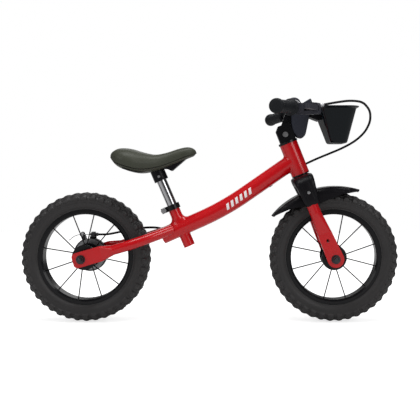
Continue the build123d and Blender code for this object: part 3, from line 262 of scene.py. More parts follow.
# %% From point grids to a piece
def joined_mesh(name, grids, crease=38.0):
    """One mesh from several point grids; each grid is (points in mm, wrap rows, wrap columns)."""
    spots, faces, start = [], [], 0
    for points, wrap_rows, wrap_columns in grids:
        rows, columns = points.shape[:2]
        index = np.arange(rows * columns).reshape(rows, columns)
        if wrap_rows:
            index = np.vstack([index, index[:1]])
        if wrap_columns:
            index = np.hstack([index, index[:, :1]])
        quads = np.stack([index[:-1, :-1], index[1:, :-1], index[1:, 1:], index[:-1, 1:]], axis=-1)
        faces.append(quads.reshape(-1, 4) + start)
        spots.append(points.reshape(-1, 3) * MM)
        start += rows * columns
    mesh = bpy.data.meshes.new(name)
    mesh.from_pydata(np.vstack(spots).tolist(), [], np.vstack(faces).tolist())
    work = bmesh.new()
    work.from_mesh(mesh)
    bmesh.ops.remove_doubles(work, verts=work.verts, dist=2e-6)
    bmesh.ops.recalc_face_normals(work, faces=work.faces)
    work.to_mesh(mesh)
    work.free()
    mesh.shade_smooth()
    mesh.set_sharp_from_angle(angle=math.radians(crease))
    return mesh


def add_piece(name, grids, made, body, nodes=(), crease=38.0):
    """A finished piece: its mesh, its finish, the body it rides on and the nodes it stands for."""
    piece = bpy.data.objects.new(name, joined_mesh(name, grids, crease))
    bpy.context.scene.collection.objects.link(piece)
    piece.data.materials.append(made)
    if body:
        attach(piece, body)
    if nodes:
        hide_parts(*nodes)
    print(name, len(piece.data.polygons), "faces")
    return piece


print("pieces are drawn in millimetres, so each point is multiplied by", MM)

# %% [markdown]
# An outline of a saddle or a cover has only a few points that matter, with a smooth line between them. A
# Bezier curve would need two handles for each point. A Catmull-Rom curve needs none, because it passes
# through the points and takes its direction from their neighbours. A second small helper, the smooth
# step, fades one shape into another without a crease.

# %% Smooth lines and smooth steps
def curve_through(points, count):
    """Catmull-Rom curve through the points, resampled at even steps along its length."""
    p = np.asarray(points, float)
    ends = np.vstack([2 * p[0] - p[1], p, 2 * p[-1] - p[-2]])
    t = np.linspace(0, 1, 24, endpoint=False)[:, None]
    runs = []
    for a, b, c, d in zip(ends, ends[1:], ends[2:], ends[3:]):
        bend, twist = 2 * a - 5 * b + 4 * c - d, 3 * b - a - 3 * c + d
        runs.append(0.5 * (2 * b + (c - a) * t + bend * t**2 + twist * t**3))
    line = np.vstack(runs + [p[-1:]])
    length = np.concatenate([[0], np.cumsum(np.linalg.norm(np.diff(line, axis=0), axis=1))])
    even = np.linspace(0, length[-1], count)
    return np.stack([np.interp(even, length, line[:, k]) for k in range(line.shape[1])], axis=1)


def ramp(value, low, high):
    """Smooth step: 0 below low, 1 above high, 3t^2 - 2t^3 between."""
    t = np.clip((value - low) / (high - low), 0, 1)
    return t * t * (3 - 2 * t)


print("half way up the smooth step:", ramp(0.5, 0.0, 1.0))

# %% [markdown]
# The tyres are one-piece foam with a moulded tread: a round-shouldered section with 42 rows of low
# blocks. The middle blocks and the shoulder blocks are staggered, and the side wall carries a ring of
# knobs with a fine crease under them. The blocks could be copied round the wheel as separate bits, but
# foam has no joints. So the section is turned about the axle as a whole, and the grooves are pressed into
# it.

# %% Tyres
axle_x, axle_z = 278.0, 145.0
block_rows, points_per_row = 42, 16
groove_depth, wave_depth = 1.8, 2.4


def tyre_grid(centre_x, phase):
    """Radius = section - groove depth x gap - wave; half width = section + knobs - crease; then turned."""
    half = [(0, 100.5), (12.0, 100.5), (12.2, 106.2), (15.4, 106.8), (20.0, 110.5), (23.0, 116.5),
            (24.0, 124.0), (23.0, 132.0), (19.6, 138.8), (14.0, 142.9), (7.0, 144.7), (0, 145.0)]
    right = curve_through(half[3:], 36)
    inner = np.array(half[:3], float)
    section = np.vstack([inner, right, (right[:-1] * (-1, 1))[::-1], (inner[1:] * (-1, 1))[::-1]])
    across, radius = section[:, 0][:, None], section[:, 1][:, None]
    turn = np.linspace(0, 2 * np.pi, block_rows * points_per_row, endpoint=False)[None, :]
    row = turn * block_rows / (2 * np.pi) + phase
    outside = ramp(radius, 131.0, 138.5)
    chevron = 0.18 * np.abs(across) / 8.0
    middle_gap = 1 - ramp(np.abs(np.mod(row + chevron, 1) - 0.5), 0.10, 0.19)
    side_gap = 1 - ramp(np.abs(np.mod(row + 0.5 + 0.3 * (across > 0), 1) - 0.5), 0.16, 0.23)
    in_middle = 1 - ramp(np.abs(across), 7.0, 8.2)
    ring_gap = (1 - ramp(np.abs(np.abs(across) - 8.4), 0.5, 1.4)) * 0.8
    gap = np.clip(in_middle * middle_gap + (1 - in_middle) * side_gap + ring_gap, 0, 1)
    knob = (1 - side_gap) * ramp(radius, 127.5, 128.7) * (1 - ramp(radius, 136.5, 139.0))
    crease = np.exp(-(((radius - 123.5) / 0.9) ** 2))
    wave = wave_depth * outside * (0.5 - 0.5 * np.cos(2 * np.pi * (row + 0.5)))
    r = radius - groove_depth * gap * outside - wave
    on_side = ramp(np.abs(across), 14.0, 19.0)
    y = across + np.sign(across) * on_side * (3.7 * knob - 3.5 - 0.8 * crease)
    spots = np.stack([centre_x + r * np.sin(turn), y + 0 * turn, axle_z + r * np.cos(turn)], axis=-1)
    return spots, True, True


add_piece("front_foam_tyre", [tyre_grid(axle_x, 0.1)], foam, "front_wheel", ["front_tyre"], crease=60)
add_piece("rear_foam_tyre", [tyre_grid(-axle_x, 0.6)], foam, "rear_wheel", ["rear_tyre"], crease=60)

# %% [markdown]
# A weld is a small hollow-sided band of metal where one tube meets another. Cut tubes alone meet in a
# knife line, which looks like a model and not like a frame. To lay the band along that line, the line has
# to be found first. This step describes the main tube and the head tube as lines, and measures how far
# any point is from them.

# %% Centre lines of the frame
def distance_to(line, spots):
    """Shortest distance from each spot to a line of short segments, with the nearest point."""
    best = np.full(spots.shape[:-1], 1e9)
    nearest = np.zeros_like(spots)
    for a, b in zip(line, line[1:]):
        ab = b - a
        t = np.clip(((spots - a) @ ab) / (ab @ ab), 0, 1)[..., None]
        foot = a + t * ab
        gap = np.linalg.norm(spots - foot, axis=-1)
        closer = gap < best
        best = np.where(closer, gap, best)
        nearest = np.where(closer[..., None], foot, nearest)
    return best, nearest


tube_radius, head_radius, seat_radius = 18.0, 20.5, 12.7
tube_ends = ((-105, 0, 191.3), (32.8, 0, 252.6), (191.7, 0, 362.9))
tube_rear, tube_bend, tube_front = (np.array(p, float) for p in tube_ends)
to_bend, from_bend = tube_bend - tube_rear, tube_front - tube_bend
bend_cosine = np.dot(to_bend, from_bend) / np.linalg.norm(to_bend) / np.linalg.norm(from_bend)
bend_reach = 600.0 * math.tan(math.acos(bend_cosine) / 2)
rear_start = tube_bend - to_bend / np.linalg.norm(to_bend) * bend_reach
front_start = tube_bend + from_bend / np.linalg.norm(from_bend) * bend_reach
t = np.linspace(0, 1, 14)[:, None]
bend_line = (1 - t) ** 2 * rear_start + 2 * t * (1 - t) * tube_bend + t**2 * front_start
main_line = np.vstack([tube_rear, bend_line, tube_front])
head_lean, seat_lean = math.radians(21.6), math.radians(23.3)
steer_way = np.array([-math.sin(head_lean), 0, math.cos(head_lean)])
steer_forward = np.array([math.cos(head_lean), 0, math.sin(head_lean)])
front_axle = np.array([axle_x, 0, axle_z])
head_line = np.array([front_axle + steer_way * 150, front_axle + steer_way * 320])
seat_way = np.array([-math.sin(seat_lean), 0, math.cos(seat_lean)])
seat_foot = np.array([-46.0, 0, 169.0])
print("the main tube bends over", round(2 * float(bend_reach)), "mm")

# %% [markdown]
# Now the band itself. For each direction round the branch tube, a straight line along its skin is
# followed until it meets the trunk tube. From there the band runs a little way up the branch and a little
# way out on the trunk, as a curve with that meeting point as its corner. A bevel on a joined mesh could
# do the same, but it breaks easily on round tubes that meet at a slant.

# %% Welds
def weld_band(origin, way, radius, trunk, trunk_radius, up, out, far, count=72):
    """Curve from up mm above the joint on the branch to out mm beyond it on the trunk, bent towards it."""
    origin, way = np.asarray(origin, float), np.asarray(way, float) / np.linalg.norm(way)
    side = np.cross(way, (0, 1.0, 0))
    side /= np.linalg.norm(side)
    other = np.cross(way, side)
    turn = np.linspace(0, 2 * np.pi, count, endpoint=False)[:, None]
    ray = np.cos(turn) * side + np.sin(turn) * other
    reach = np.arange(far, 0, -0.5)
    spots = origin + radius * ray[:, None, :] + reach[None, :, None] * way
    gap, _ = distance_to(trunk, spots)
    first = np.argmax(gap <= trunk_radius, axis=1)
    corner = spots[np.arange(count), first]
    start = corner + way * up
    spread = corner + ray * out
    _, foot = distance_to(trunk, spread)
    normal = spread - foot
    normal /= np.linalg.norm(normal, axis=1)[:, None]
    end = foot + normal * (trunk_radius - 0.05)
    start = start - ray * 0.05
    t = np.linspace(0, 1, 12)[None, :, None]
    band = (1 - t) ** 2 * start[:, None] + 2 * t * (1 - t) * corner[:, None] + t**2 * end[:, None]
    under_skin = 0.6
    inside = corner - ray * under_skin - normal * under_skin
    return np.concatenate([band, inside[:, None]], axis=1), True, True


front_run = -from_bend / np.linalg.norm(from_bend)
welds = [
    weld_band(seat_foot, seat_way, seat_radius, main_line, tube_radius, 15.0, 13.0, 95.0),
    weld_band(seat_foot + seat_way * 60, -seat_way, seat_radius, main_line, tube_radius, 3.0, 3.0, 59.0),
    weld_band(tube_front, front_run, tube_radius, head_line, head_radius, 7.0, 5.0, 90.0),
]
add_piece("frame_welds", welds, red_paint, "frame", crease=70)

# %% [markdown]
# The saddle is vinyl pulled over foam on a moulded base. Its back is wide and full, its nose is narrow,
# the top dips in the middle, and a seam runs round it low on the side, where the cover is gathered. A
# cloth simulation could blow up a pad, but this cover is tight and its outline is set by the base. So
# rings are drawn across the saddle between a top line and a bottom line, and the seam and its small
# puckers are pressed into them.

# %% Saddle pad
saddle_back, saddle_length = -222.0, 191.5
below_edge, seam_drop = 0.36, 0.24


def saddle_grid():
    """Ring = width x |cos|^power across, top or bottom height x |sin|^power up; the seam is a narrow dip."""
    plan = curve_through([(-222, 0), (-221, 14), (-217, 34), (-206, 52), (-190, 61), (-172, 62.5),
                          (-156, 58), (-138, 47.5), (-120, 37.5), (-102, 30), (-84, 25.5), (-66, 23),
                          (-50, 20.5), (-38, 14.5), (-31.5, 5), (-30.5, 0)], 400)
    top = curve_through([(-222, 370), (-219, 377), (-212, 383.5), (-199, 388.5), (-178, 387.5),
                         (-150, 379.5), (-123, 374.5), (-98, 378.5), (-72, 387), (-54, 391),
                         (-42, 390), (-33.5, 385), (-30.5, 378)], 400)
    low = curve_through([(-222, 370), (-214, 359), (-202, 347.5), (-186, 340), (-168, 334.5), (-150, 332),
                         (-130, 335), (-108, 341), (-85, 350), (-64, 359), (-48, 366), (-36.5, 371),
                         (-30.5, 378)], 400)
    t = np.linspace(0, 1, 150)
    stations = saddle_back + saddle_length * (0.5 - 0.5 * np.cos(np.pi * t))
    width = np.interp(stations, plan[:, 0], plan[:, 1])
    high = np.interp(stations, top[:, 0], top[:, 1])
    under = np.interp(stations, low[:, 0], low[:, 1])
    turn = np.linspace(0, 2 * np.pi, 144, endpoint=False)
    c, s = np.cos(turn)[None, :], np.sin(turn)[None, :]
    tall = (high - under)[:, None]
    edge = (under + below_edge * (high - under))[:, None]
    ease = ramp(stations, -100, -50)[:, None]
    power = 0.62 + 0.16 * ease
    y = width[:, None] * np.sign(c) * np.abs(c) ** power
    crown = np.abs(s) ** (0.86 - 0.10 * ease)
    floor = np.abs(s) ** 0.62
    z = edge + np.where(s > 0, crown * (1 - below_edge) * tall, -floor * below_edge * tall)
    tuck = 1 - 0.05 * np.exp(-(((s + 0.15) / 0.55) ** 2)) * ramp(-s, -0.4, 0.9)
    y = y * tuck
    low_side = np.exp(-(((s + seam_drop) / 0.045) ** 2))
    lip = np.exp(-(((s + 0.40) / 0.09) ** 2))
    puckers = np.sin(stations * 0.9)[:, None] * np.exp(-(((s + 0.10) / 0.12) ** 2))
    swell = -1.8 * low_side + 0.8 * lip + 0.15 * puckers
    grip = np.minimum(1.0, width / 16.0)[:, None]
    y = y + swell * grip * c
    z = z + swell * grip * s * 0.5
    x = stations[:, None] + 0 * c
    return np.stack([x, y, z], axis=-1), False, True


saddle_points, _, _ = saddle_grid()
saddle = add_piece("saddle_cushion", [(saddle_points, False, True)], vinyl, "seat", ["saddle_pad"],
                   crease=75)

# %% [markdown]
# A thin dark welt is sewn into the saddle's seam. It could be a curve snapped to the pad, but the pad's
# own points already know where the seam is: two columns of its grid run along it, one on each side. The
# welt is a round section carried along them. The section keeps its own direction from ring to ring, so it
# doesn't twist.

# %% Saddle welt
def sweep(path, radius, sides=20, closed_ends=True):
    """Ring = path point + radius x (cos x side + sin x (way x side)); side is kept square to the way."""
    path = np.asarray(path, float)
    way = np.gradient(path, axis=0)
    way /= np.linalg.norm(way, axis=1)[:, None]
    side = np.cross(way[0], (0, 0, 1.0) if abs(way[0][2]) < 0.9 else (1.0, 0, 0))
    rings = []
    turn = np.linspace(0, 2 * np.pi, sides, endpoint=False)[:, None]
    for spot, ahead in zip(path, way):
        side = side - ahead * np.dot(side, ahead)
        side /= np.linalg.norm(side)
        rings.append(spot + radius * (np.cos(turn) * side + np.sin(turn) * np.cross(ahead, side)))
    if closed_ends:
        rings = [np.repeat(path[:1], sides, 0)] + rings + [np.repeat(path[-1:], sides, 0)]
    return np.array(rings), False, True


columns = saddle_points.shape[1]
seam_turn = math.asin(seam_drop) / (2 * math.pi)
left_column, right_column = round(columns * (1 - seam_turn)), round(columns * (0.5 + seam_turn))
welt_line = np.vstack([saddle_points[3:-3, left_column], saddle_points[3:-3, right_column][::-1]])
welt_rings, _, _ = sweep(np.vstack([welt_line, welt_line[:1]]), 0.9, 10, closed_ends=False)
add_piece("saddle_welt", [(welt_rings[:-1], True, True)], spoke_paint, "seat",
          crease=70)

# %% [markdown]
# The grips are rubber sleeves. Each has a bulb over the bar's end, so that it is soft in a fall, a hand
# area with fine rings, and a flange that stops the hand. All of that is in one outline, which is turned
# about the bar, as on a lathe. A Screw modifier would do the same, but this way the piece stays where it
# is, with no turned object behind it.

# %% Grips
def lathe(profile, origin, way, turns=64):
    """Point = origin + distance along x way + radius x (cos x side + sin x other side)."""
    profile = np.asarray(profile, float)
    way = np.asarray(way, float) / np.linalg.norm(way)
    side = np.cross(way, (0, 0, 1.0))
    side /= np.linalg.norm(side)
    other = np.cross(way, side)
    turn = np.linspace(0, 2 * np.pi, turns, endpoint=False)[None, :, None]
    along, radius = profile[:, 0][:, None, None], profile[:, 1][:, None, None]
    spots = np.asarray(origin, float) + along * way + radius * (np.cos(turn) * side + np.sin(turn) * other)
    return spots, False, True


def grip_grid(side):
    """Radius along the sleeve: bulb, then hand radius with a groove in every 4 mm, then flange."""
    tip, bend = np.array([141.5, side * 200.0, 466.3]), np.array([192.0, side * 68.0, 474.5])
    body = np.arange(14, 88, 0.5)
    rings = 13.4 - 0.55 * (np.cos(2 * np.pi * body / 4.0) > 0.3)
    profile = [(-2.5, 0), (-2.5, 9), (-2.2, 11.6), (-1.2, 13.6), (1, 14.9), (5, 15.3), (9, 15.1),
               (11, 14.2), (12.5, 13.5)]
    profile += list(zip(body, rings))
    profile += [(88, 13.6), (90, 14.4), (91.2, 16.6), (92, 17.6), (93.2, 18.0), (94.4, 17.6),
                (95, 16.4), (95, 11.2)]
    return lathe(profile, tip, bend - tip, 72)


for side, hand in ((-1, "right"), (1, "left")):
    add_piece(f"grip_{hand}_sleeve", [grip_grid(side)], rubber, "steering", [f"grip_{hand}"],
              crease=50)

# %% [markdown]
# The brake cable leaves the lever, loops in front of the basket, and goes to the frame at the left of the
# head tube. Both its ends are held, so its route is a list of the places that it passes, with round bends
# between them. Its last stretch hangs between the bar and the frame.

# %% Brake cable
def rounded_route(points, share=0.45, steps=8):
    """Straight runs; at each corner a parabola that starts and ends at a share of the shorter run."""
    p = np.asarray(points, float)
    line = [p[0]]
    for before, here, after in zip(p, p[1:], p[2:]):
        back, on = before - here, after - here
        reach = share * min(np.linalg.norm(back), np.linalg.norm(on))
        start, end = here + back / np.linalg.norm(back) * reach, here + on / np.linalg.norm(on) * reach
        for t in np.linspace(0, 1, steps):
            line.append((1 - t) ** 2 * start + 2 * t * (1 - t) * here + t**2 * end)
    line.append(p[-1])
    return np.array(line)


front_route = [(245.3, -101.5, 477.8), (272, -97, 483), (301, -97, 487), (330, -90, 485), (350, -67, 468),
               (355, -40, 446), (347, -17, 424), (328, -2, 405), (301, 9, 389.5), (269, 17, 376),
               (240, 22.5, 364), (213, 26, 351)]
cable_radius = 2.5
front_skin = sweep(rounded_route(front_route), cable_radius)
front_cable = add_piece("brake_cable_front_skin", [front_skin], cable_skin, None, ["brake_cable_front"],
                        crease=60)
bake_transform(front_cable)

# %% [markdown]
# The bare brake wire runs from the cable stop to the bolt on the brake arm, and a short curl of it is
# left over behind the bolt. The stop stands still and the bolt moves with the arm. The straight run gets
# points along it as well, not only its two ends.

# %% Brake wire
wire_radius = 0.8
wire_line = rounded_route([(-263, 39.5, 190), (-305, 39.5, 190), (-318, 40.5, 186), (-330, 42.5, 176)])
wire_entry = np.linspace(wire_line[0], wire_line[1], 24)
wire_path = np.vstack([wire_entry, wire_line[2:]])
wire = add_piece("brake_wire_strand", [sweep(wire_path, wire_radius, 12)], steel, None, ["brake_wire"],
                 crease=60)
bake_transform(wire)

# %% [markdown]
# The crown cover is one satin moulding over the top of the fork: an upside-down U that swells towards the
# top, with a raised line between two grooves on each outer face. A rounded box section is carried along
# the U. The section's corners come from a power of the sine and cosine, which gives flat faces with soft
# edges in one formula.

# %% Crown cover
def capped(rings):
    """The same rings with the middle of the first and the last one added, so that both ends are closed."""
    first = np.repeat(rings[:1].mean(axis=1, keepdims=True), rings.shape[1], 1)
    last = np.repeat(rings[-1:].mean(axis=1, keepdims=True), rings.shape[1], 1)
    return np.concatenate([first, rings, last]), False, True


def crown_grid():
    """Section = thickness x |cos|^0.42 across, depth x |sin|^0.42 forward, carried along an upside-down U."""
    half = curve_through([(47.6, 129.2), (47.8, 142), (47.8, 156), (47.8, 168), (46.8, 177), (42, 183.2),
                          (32, 186.0), (16, 186.6), (0, 186.6)], 60)
    line = np.vstack([half, (half[:-1] * (-1, 1))[::-1]])
    way = np.gradient(line, axis=0)
    way /= np.linalg.norm(way, axis=1)[:, None]
    out = np.stack([way[:, 1], -way[:, 0]], axis=1)
    height = line[:, 1]
    thick = np.interp(height, [129, 140, 165, 177, 187], [13.8, 14.6, 14.6, 13.8, 10.8])
    deep = np.interp(height, [129, 150, 175, 187], [15.5, 18.0, 21.5, 23.5])
    end = np.minimum(np.arange(len(line)), np.arange(len(line))[::-1])
    soft = np.interp(end, [0, 1, 2, 3, 5], [0.86, 0.93, 0.97, 0.99, 1.0])
    thick, deep = thick * soft, deep * soft
    turn = np.linspace(0, 2 * np.pi, 96, endpoint=False)[None, :]
    c, s = np.cos(turn), np.sin(turn)
    forward = deep[:, None] * np.sign(s) * np.abs(s) ** 0.42
    across = thick[:, None] * np.sign(c) * np.abs(c) ** 0.42
    face = np.where(c > 0, 1.0, 0.0)
    ridge = np.exp(-((forward - 3.0) ** 2) / 3.0) * 0.9 - np.exp(-((forward - 9.5) ** 2) / 2.0) * 0.8
    ridge = ridge - np.exp(-((forward + 8.5) ** 2) / 2.0) * 0.8
    across = across + face * ridge * ramp(height, 131, 137)[:, None] - face * 0.8
    forward = forward + np.interp(height, [129, 187], [-3.0, -1.0])[:, None]
    side = line[:, 0][:, None] + across * out[:, 0][:, None]
    up = line[:, 1][:, None] + across * out[:, 1][:, None]
    spots = front_axle + forward[..., None] * steer_forward + up[..., None] * steer_way
    spots[..., 1] = side
    return capped(spots)


add_piece("crown_cover_moulding", [crown_grid()], satin_plastic, "steering", ["crown_cover"],
          crease=45)

# %% [markdown]
# The handlebar cover is a slate plastic shield in front of the rider: a rounded lobe about the bar, a
# lobe at the front and a tongue down the stem. Seen from the side it has one smooth outline. That outline
# is carried across the bar, and near each side it is drawn in quickly, as a bevelled edge would be. The
# tongue is also narrower than the top.

# %% Handlebar cover
def cover_grid():
    """Ring = middle + (outline - middle) x a scale that drops near each side; it narrows lower down."""
    corners = [(171.5, 487), (173.5, 477), (179, 470), (182.0, 464), (182.6, 452), (183.6, 438),
               (187.6, 425), (195.0, 414.5), (203, 411), (209, 412.5), (214.5, 419), (217.2, 430),
               (219.3, 441), (221.6, 453), (224.5, 465), (229.5, 472.5), (232.6, 477.5), (231.5, 484),
               (228.5, 493), (225.5, 499), (221, 497.2), (213, 492.5), (206, 488.6), (203.5, 490.5),
               (199.8, 496.8), (192, 501.4), (182, 500.4), (174.5, 494.5)]
    outline = curve_through(corners + corners[:1], 200)[:-1]
    middle = np.array([203.0, 462.0])
    half_stations = np.array([0, 8, 15, 22, 26, 28, 29.3, 29.9, 30])
    half_shrink = np.array([1, 1, 1, 0.995, 0.98, 0.955, 0.92, 0.86, 0])
    stations = np.concatenate([-half_stations[:0:-1], half_stations])
    shrink = np.concatenate([half_shrink[:0:-1], half_shrink])
    rings = []
    for across, scale in zip(stations, shrink):
        ring = middle + (outline - middle) * scale
        narrow = np.interp(ring[:, 1], [411, 440, 475, 500], [0.60, 0.78, 1.0, 1.0])
        step = 0.5 * np.exp(-(((ring[:, 1] - 470) / 1.2) ** 2)) * (scale > 0)
        x = ring[:, 0] - step * np.sign(ring[:, 0] - middle[0])
        rings.append(np.stack([x, across * narrow, ring[:, 1]], axis=1))
    return np.array(rings), False, True


add_piece("handlebar_shield", [cover_grid()], slate_plastic, "steering", ["handlebar_cover"],
          crease=32)

# %% [markdown]
# The mudguard is a thin moulded shell over the front tyre, with side skirts that are deep at the fork and
# fade out to a point at both ends. A flat plate could be bent round the wheel, but the skirt's edge
# follows its own line. So at each angle round the arc a U section is drawn, as wide and as deep as that
# place needs, outer face first and inner face back.

# %% Mudguard
guard_radius, guard_half_width = 189.0, 31.0
guard_middle = np.array([282.8, 114.9])


def mudguard_grid():
    """U section at each angle: half width narrows to the tips, and the skirt drops to the edge outline."""
    edge = np.array([(138, 237.5), (160, 249.5), (180, 257), (199, 260), (222, 262.5), (248, 270),
                     (276, 281.5), (301, 291), (322, 295), (338, 296.5)], float) - guard_middle
    angle = np.arctan2(edge[:, 1], edge[:, 0])[::-1]
    depth = np.linalg.norm(edge, axis=1)[::-1]
    turn = np.linspace(angle[0], angle[-1], 160)
    skirt = np.maximum(guard_radius - np.interp(turn, angle, depth), 0.8)
    end = np.minimum(turn - turn[0], turn[-1] - turn) * guard_radius
    half = guard_half_width * np.clip(end / 26.0, 0.02, 1) ** 0.55
    rows = []
    for a, drop, wide in zip(turn, skirt, half):
        bend = min(13.0, wide * 0.45, max(drop, 1.5) * 0.9 + 2)
        side = np.linspace(0, 1, 10)
        arc = np.linspace(0, np.pi / 2, 12)
        down = np.stack([np.full(10, wide), -bend - (1 - side) * max(drop - bend, 0.1)], axis=1)
        curve = np.stack([wide - bend + bend * np.cos(arc), -bend + bend * np.sin(arc)], axis=1)
        flat = np.stack([np.linspace(wide - bend, 0, 10), np.zeros(10)], axis=1)
        right = np.vstack([down[:-1], curve[:-1], flat])
        outer = np.vstack([right, (right[:-1] * (-1, 1))[::-1]])
        crown = 1.6 * (1 - (outer[:, 0] / max(wide, 1)) ** 2)
        outer[:, 1] += crown - 1.6
        wall = min(2.2, wide * 0.3)
        inner = outer * (1 - wall / max(wide, 2.0), 1) - (0, 1.0) * np.array([wall * 0.9])
        loop = np.vstack([outer, inner[::-1]])
        r = guard_radius + loop[:, 1]
        x, z = guard_middle[0] + r * math.cos(a), guard_middle[1] + r * math.sin(a)
        rows.append(np.stack([x, loop[:, 0], z], axis=1))
    return capped(np.array(rows))


add_piece("mudguard_shell", [mudguard_grid()], satin_plastic, "steering", ["front_mudguard"],
          crease=42)

# %% [markdown]
# The basket is a glossy moulded tub that widens upwards, with soft corners and a rolled rim. Seen from
# above every level of it is a rectangle with round corners. So the whole tub, floor, outside, rim and
# inside, is a stack of such loops, from the middle of the floor out, up, over the rim, and down to the
# middle of the inner floor.

# %% Levels of the basket
basket_floor, basket_height = 399.0, 79.5
wall_gap = 2.5


def basket_level(z):
    """Length, width, corner radius and middle of the tub; each changes evenly from floor to rim."""
    share = (z - basket_floor) / basket_height
    return 38 + 44 * share, 85 + 77 * share, 12 + 8 * share, 286 - 5 * share


def rounded_loop(length, width, corner, count=56):
    """Points round a rectangle with round corners, the same number on each side."""
    quarter = np.linspace(0, np.pi / 2, count // 4)
    signs = ((1, 1), (-1, 1), (-1, -1), (1, -1))
    spots = []
    for k, (sx, sy) in enumerate(signs):
        a = quarter + k * np.pi / 2
        x = sx * (length / 2 - corner) + corner * np.cos(a)
        y = sy * (width / 2 - corner) + corner * np.sin(a)
        spots.append(np.stack([x, y], 1))
        next_x, next_y = signs[(k + 1) % 4]
        turn = (k + 1) * np.pi / 2
        end = np.array([next_x * (length / 2 - corner) + corner * math.cos(turn),
                        next_y * (width / 2 - corner) + corner * math.sin(turn)])
        begin = spots[-1][-1]
        spots.append(begin + (end - begin) * np.linspace(0, 1, 24)[1:-1, None])
    return np.vstack(spots)


print("basket at the rim:", [round(v, 1) for v in basket_level(basket_floor + basket_height)])

# %% [markdown]
# With the levels known, the rings can be stacked. Three shallow ribs stiffen the inside of the rear wall.
# They are part of the same moulding, so they go into the same piece as closed shapes half sunk in the
# wall.

# %% Basket
def basket_grid():
    """Ring = scale x rounded rectangle of that level, less its inset, plus the rim's extra."""
    floor_out = [(399.0, 0, 0, 0), (399.0, 4.0, 0, 1), (399.6, 1.8, 0, 1), (401.2, 0.4, 0, 1),
                 (403.5, 0, 0, 1)]
    outside = [(z, 0, 0, 1) for z in np.linspace(408, 470, 14)] + [(472.5, 0, 0, 1)]
    rim = [(474.2, 0, 0.8, 1), (475.2, 0, 2.8, 1), (475.8, 0, 4.4, 1), (476.8, 0, 5.0, 1), (478.0, 0, 4.6, 1),
           (478.5, 0, 3.2, 1), (478.3, 0, 0.5, 1), (477.4, 1.6, 0, 1), (475.0, 2.4, 0, 1)]
    inside = [(z, wall_gap, 0, 1) for z in np.linspace(470, 407, 14)]
    floor_in = [(404.0, 3.0, 0, 1), (402.2, 4.6, 0, 1), (401.5, 7.5, 0, 1), (401.5, 7.5, 0, 0)]
    rings = []
    for z, inset, extra, scale in floor_out + outside + rim + inside + floor_in:
        length, width, corner, middle = basket_level(z)
        grow = 2 * extra - 2 * inset
        loop = rounded_loop(length + grow, width + grow, max(corner - inset, 2.0) + extra) * scale
        rings.append(np.column_stack([loop[:, 0] + middle, loop[:, 1], np.full(len(loop), z)]))
    return np.array(rings), False, True


def rib_grid(across, half_width):
    """Low upright rib on the inside of the rear wall: an ellipse at each height, half sunk in the wall."""
    turn = np.linspace(0, 2 * np.pi, 16, endpoint=False)
    rows = []
    for z in np.linspace(408, 470, 12):
        length, _, _, middle = basket_level(z)
        wall = middle - length / 2 + wall_gap
        x, y = wall + 1.6 * np.cos(turn), across + half_width * np.sin(turn)
        rows.append(np.stack([x, y, np.full(16, z)], axis=1))
    return capped(np.array(rows))


ribs = [rib_grid(across, half_width) for across, half_width in ((-30, 3), (0, 4), (30, 3))]
add_piece("basket_tub", [basket_grid()] + ribs, gloss_plastic, "steering", ["basket"],
          crease=40)

# %% [markdown]
# The bike stands in a plain studio. The floor is one pale plane that also glows a little for the camera,
# so that it fades into the white behind it and still holds a soft shadow under the tyres. It glows less
# for every other kind of ray, because a bright floor would wash out the dark plastics.

# %% Floor
floor_level, floor_side, floor_back = -0.0005, 30.0, 1.9
floor_corners = [(-floor_side, -floor_side, floor_level), (floor_side, -floor_side, floor_level),
                 (floor_side, floor_back, floor_level), (-floor_side, floor_back, floor_level)]
floor_mesh = bpy.data.meshes.new("studio_floor")
floor_mesh.from_pydata(floor_corners, [], [(0, 1, 2, 3)])
floor = bpy.data.objects.new("studio_floor", floor_mesh)
bpy.context.scene.collection.objects.link(floor)
floor_paint = finish("studio_floor_paint", (0.60, 0.60, 0.60), 0.9, mottle=0.015, grain=0.00002)


def seen_by_camera(tree, otherwise, seen):
    """One number for camera rays and another for every other ray."""
    ray = tree.nodes.new("ShaderNodeLightPath")
    level = tree.nodes.new("ShaderNodeMapRange")
    level.inputs["To Min"].default_value = otherwise
    level.inputs["To Max"].default_value = seen
    tree.links.new(ray.outputs["Is Camera Ray"], level.inputs["Value"])
    return ray, level.outputs["Result"]


floor_shader = floor_paint.node_tree.nodes["Principled BSDF"]
floor_shader.inputs["Emission Color"].default_value = (1.0, 1.0, 1.0, 1.0)
_, floor_glow = seen_by_camera(floor_paint.node_tree, 0.10, 0.68)
floor_paint.node_tree.links.new(floor_glow, floor_shader.inputs["Emission Strength"])
floor.data.materials.append(floor_paint)
print("floor reaches", floor_back, "m behind the bike")

# %% [markdown]
# Four large rectangular lamps light the bike: one above, one from each side of the camera and one from
# behind, which draws the edges. Small lamps would be simpler, but they give hard shadows and tiny
# highlights, and studio light is soft because its sources are large.

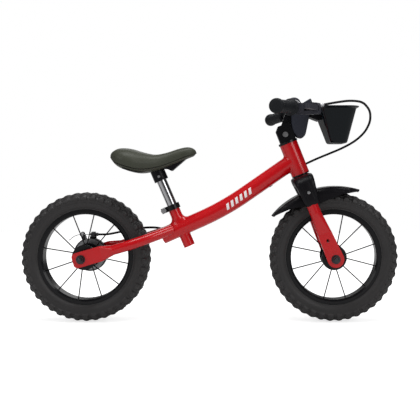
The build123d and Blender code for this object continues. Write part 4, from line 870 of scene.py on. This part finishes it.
# %% Lamps
def lamp(name, spot, aim, energy, wide, tall):
    """Rectangular lamp at a spot, turned so that its light leaves along the line to the aim."""
    data = bpy.data.lights.new(name, "AREA")
    data.shape = "RECTANGLE"
    data.size, data.size_y, data.energy = wide, tall, energy
    item = bpy.data.objects.new(name, data)
    item.location = spot
    way = np.array(aim, float) - np.array(spot, float)
    item.rotation_mode = "QUATERNION"
    item.rotation_quaternion = Vector(way).to_track_quat("-Z", "Y")
    bpy.context.scene.collection.objects.link(item)


lamp("overhead_lamp", (0.1, -0.2, 2.2), (0, 0, 0.2), 36, 1.8, 1.0)
lamp("right_lamp", (1.7, -1.9, 1.5), (0, 0, 0.25), 22, 1.2, 1.4)
lamp("left_lamp", (-1.8, -1.5, 1.2), (0, 0, 0.25), 12, 1.2, 1.2)
lamp("back_lamp", (0.0, 2.4, 1.4), (0, 0, 0.3), 12, 2.4, 1.2)
print("lamps:", len(bpy.data.lights))

# %% [markdown]
# The background is white to the camera, a soft grey as a light, and darker still in reflections. One
# white world for all three would be simpler, but its reflection lies over every glossy face like a veil
# and turns black plastic grey.

# %% Background
world = bpy.data.worlds.new("studio_world")
world.use_nodes = True
sky = world.node_tree.nodes["Background"]
sky.inputs["Color"].default_value = (1.0, 1.0, 1.0, 1.0)
ray, sky_level = seen_by_camera(world.node_tree, 0.34, 1.0)
dimmer = world.node_tree.nodes.new("ShaderNodeMath")
dimmer.operation = "MULTIPLY_ADD"
dimmer.inputs[1].default_value = -0.24
world.node_tree.links.new(ray.outputs["Is Glossy Ray"], dimmer.inputs[0])
world.node_tree.links.new(sky_level, dimmer.inputs[2])
world.node_tree.links.new(dimmer.outputs["Value"], sky.inputs["Strength"])
bpy.context.scene.world = world
bpy.context.scene.view_settings.view_transform = "Standard"
print("world:", world.name)

# %% [markdown]
# The camera looks straight at the bike's right side from about one and a half metres, at the height of
# the saddle's base. Instead of being tipped down, it is shifted, as a studio camera's back is, so the
# wheels stay round and the tubes keep their angles.

# %% Camera
camera_data = bpy.data.cameras.new("camera")
camera_data.lens = 55.0
camera_data.shift_x, camera_data.shift_y = -0.10, -0.105
camera = bpy.data.objects.new("camera", camera_data)
camera.location = (0.095, -1.45, 0.349)
camera.rotation_euler = (math.radians(90), 0, 0)
bpy.context.scene.collection.objects.link(camera)
bpy.context.scene.camera = camera
print("camera at", tuple(round(v, 3) for v in camera.location))
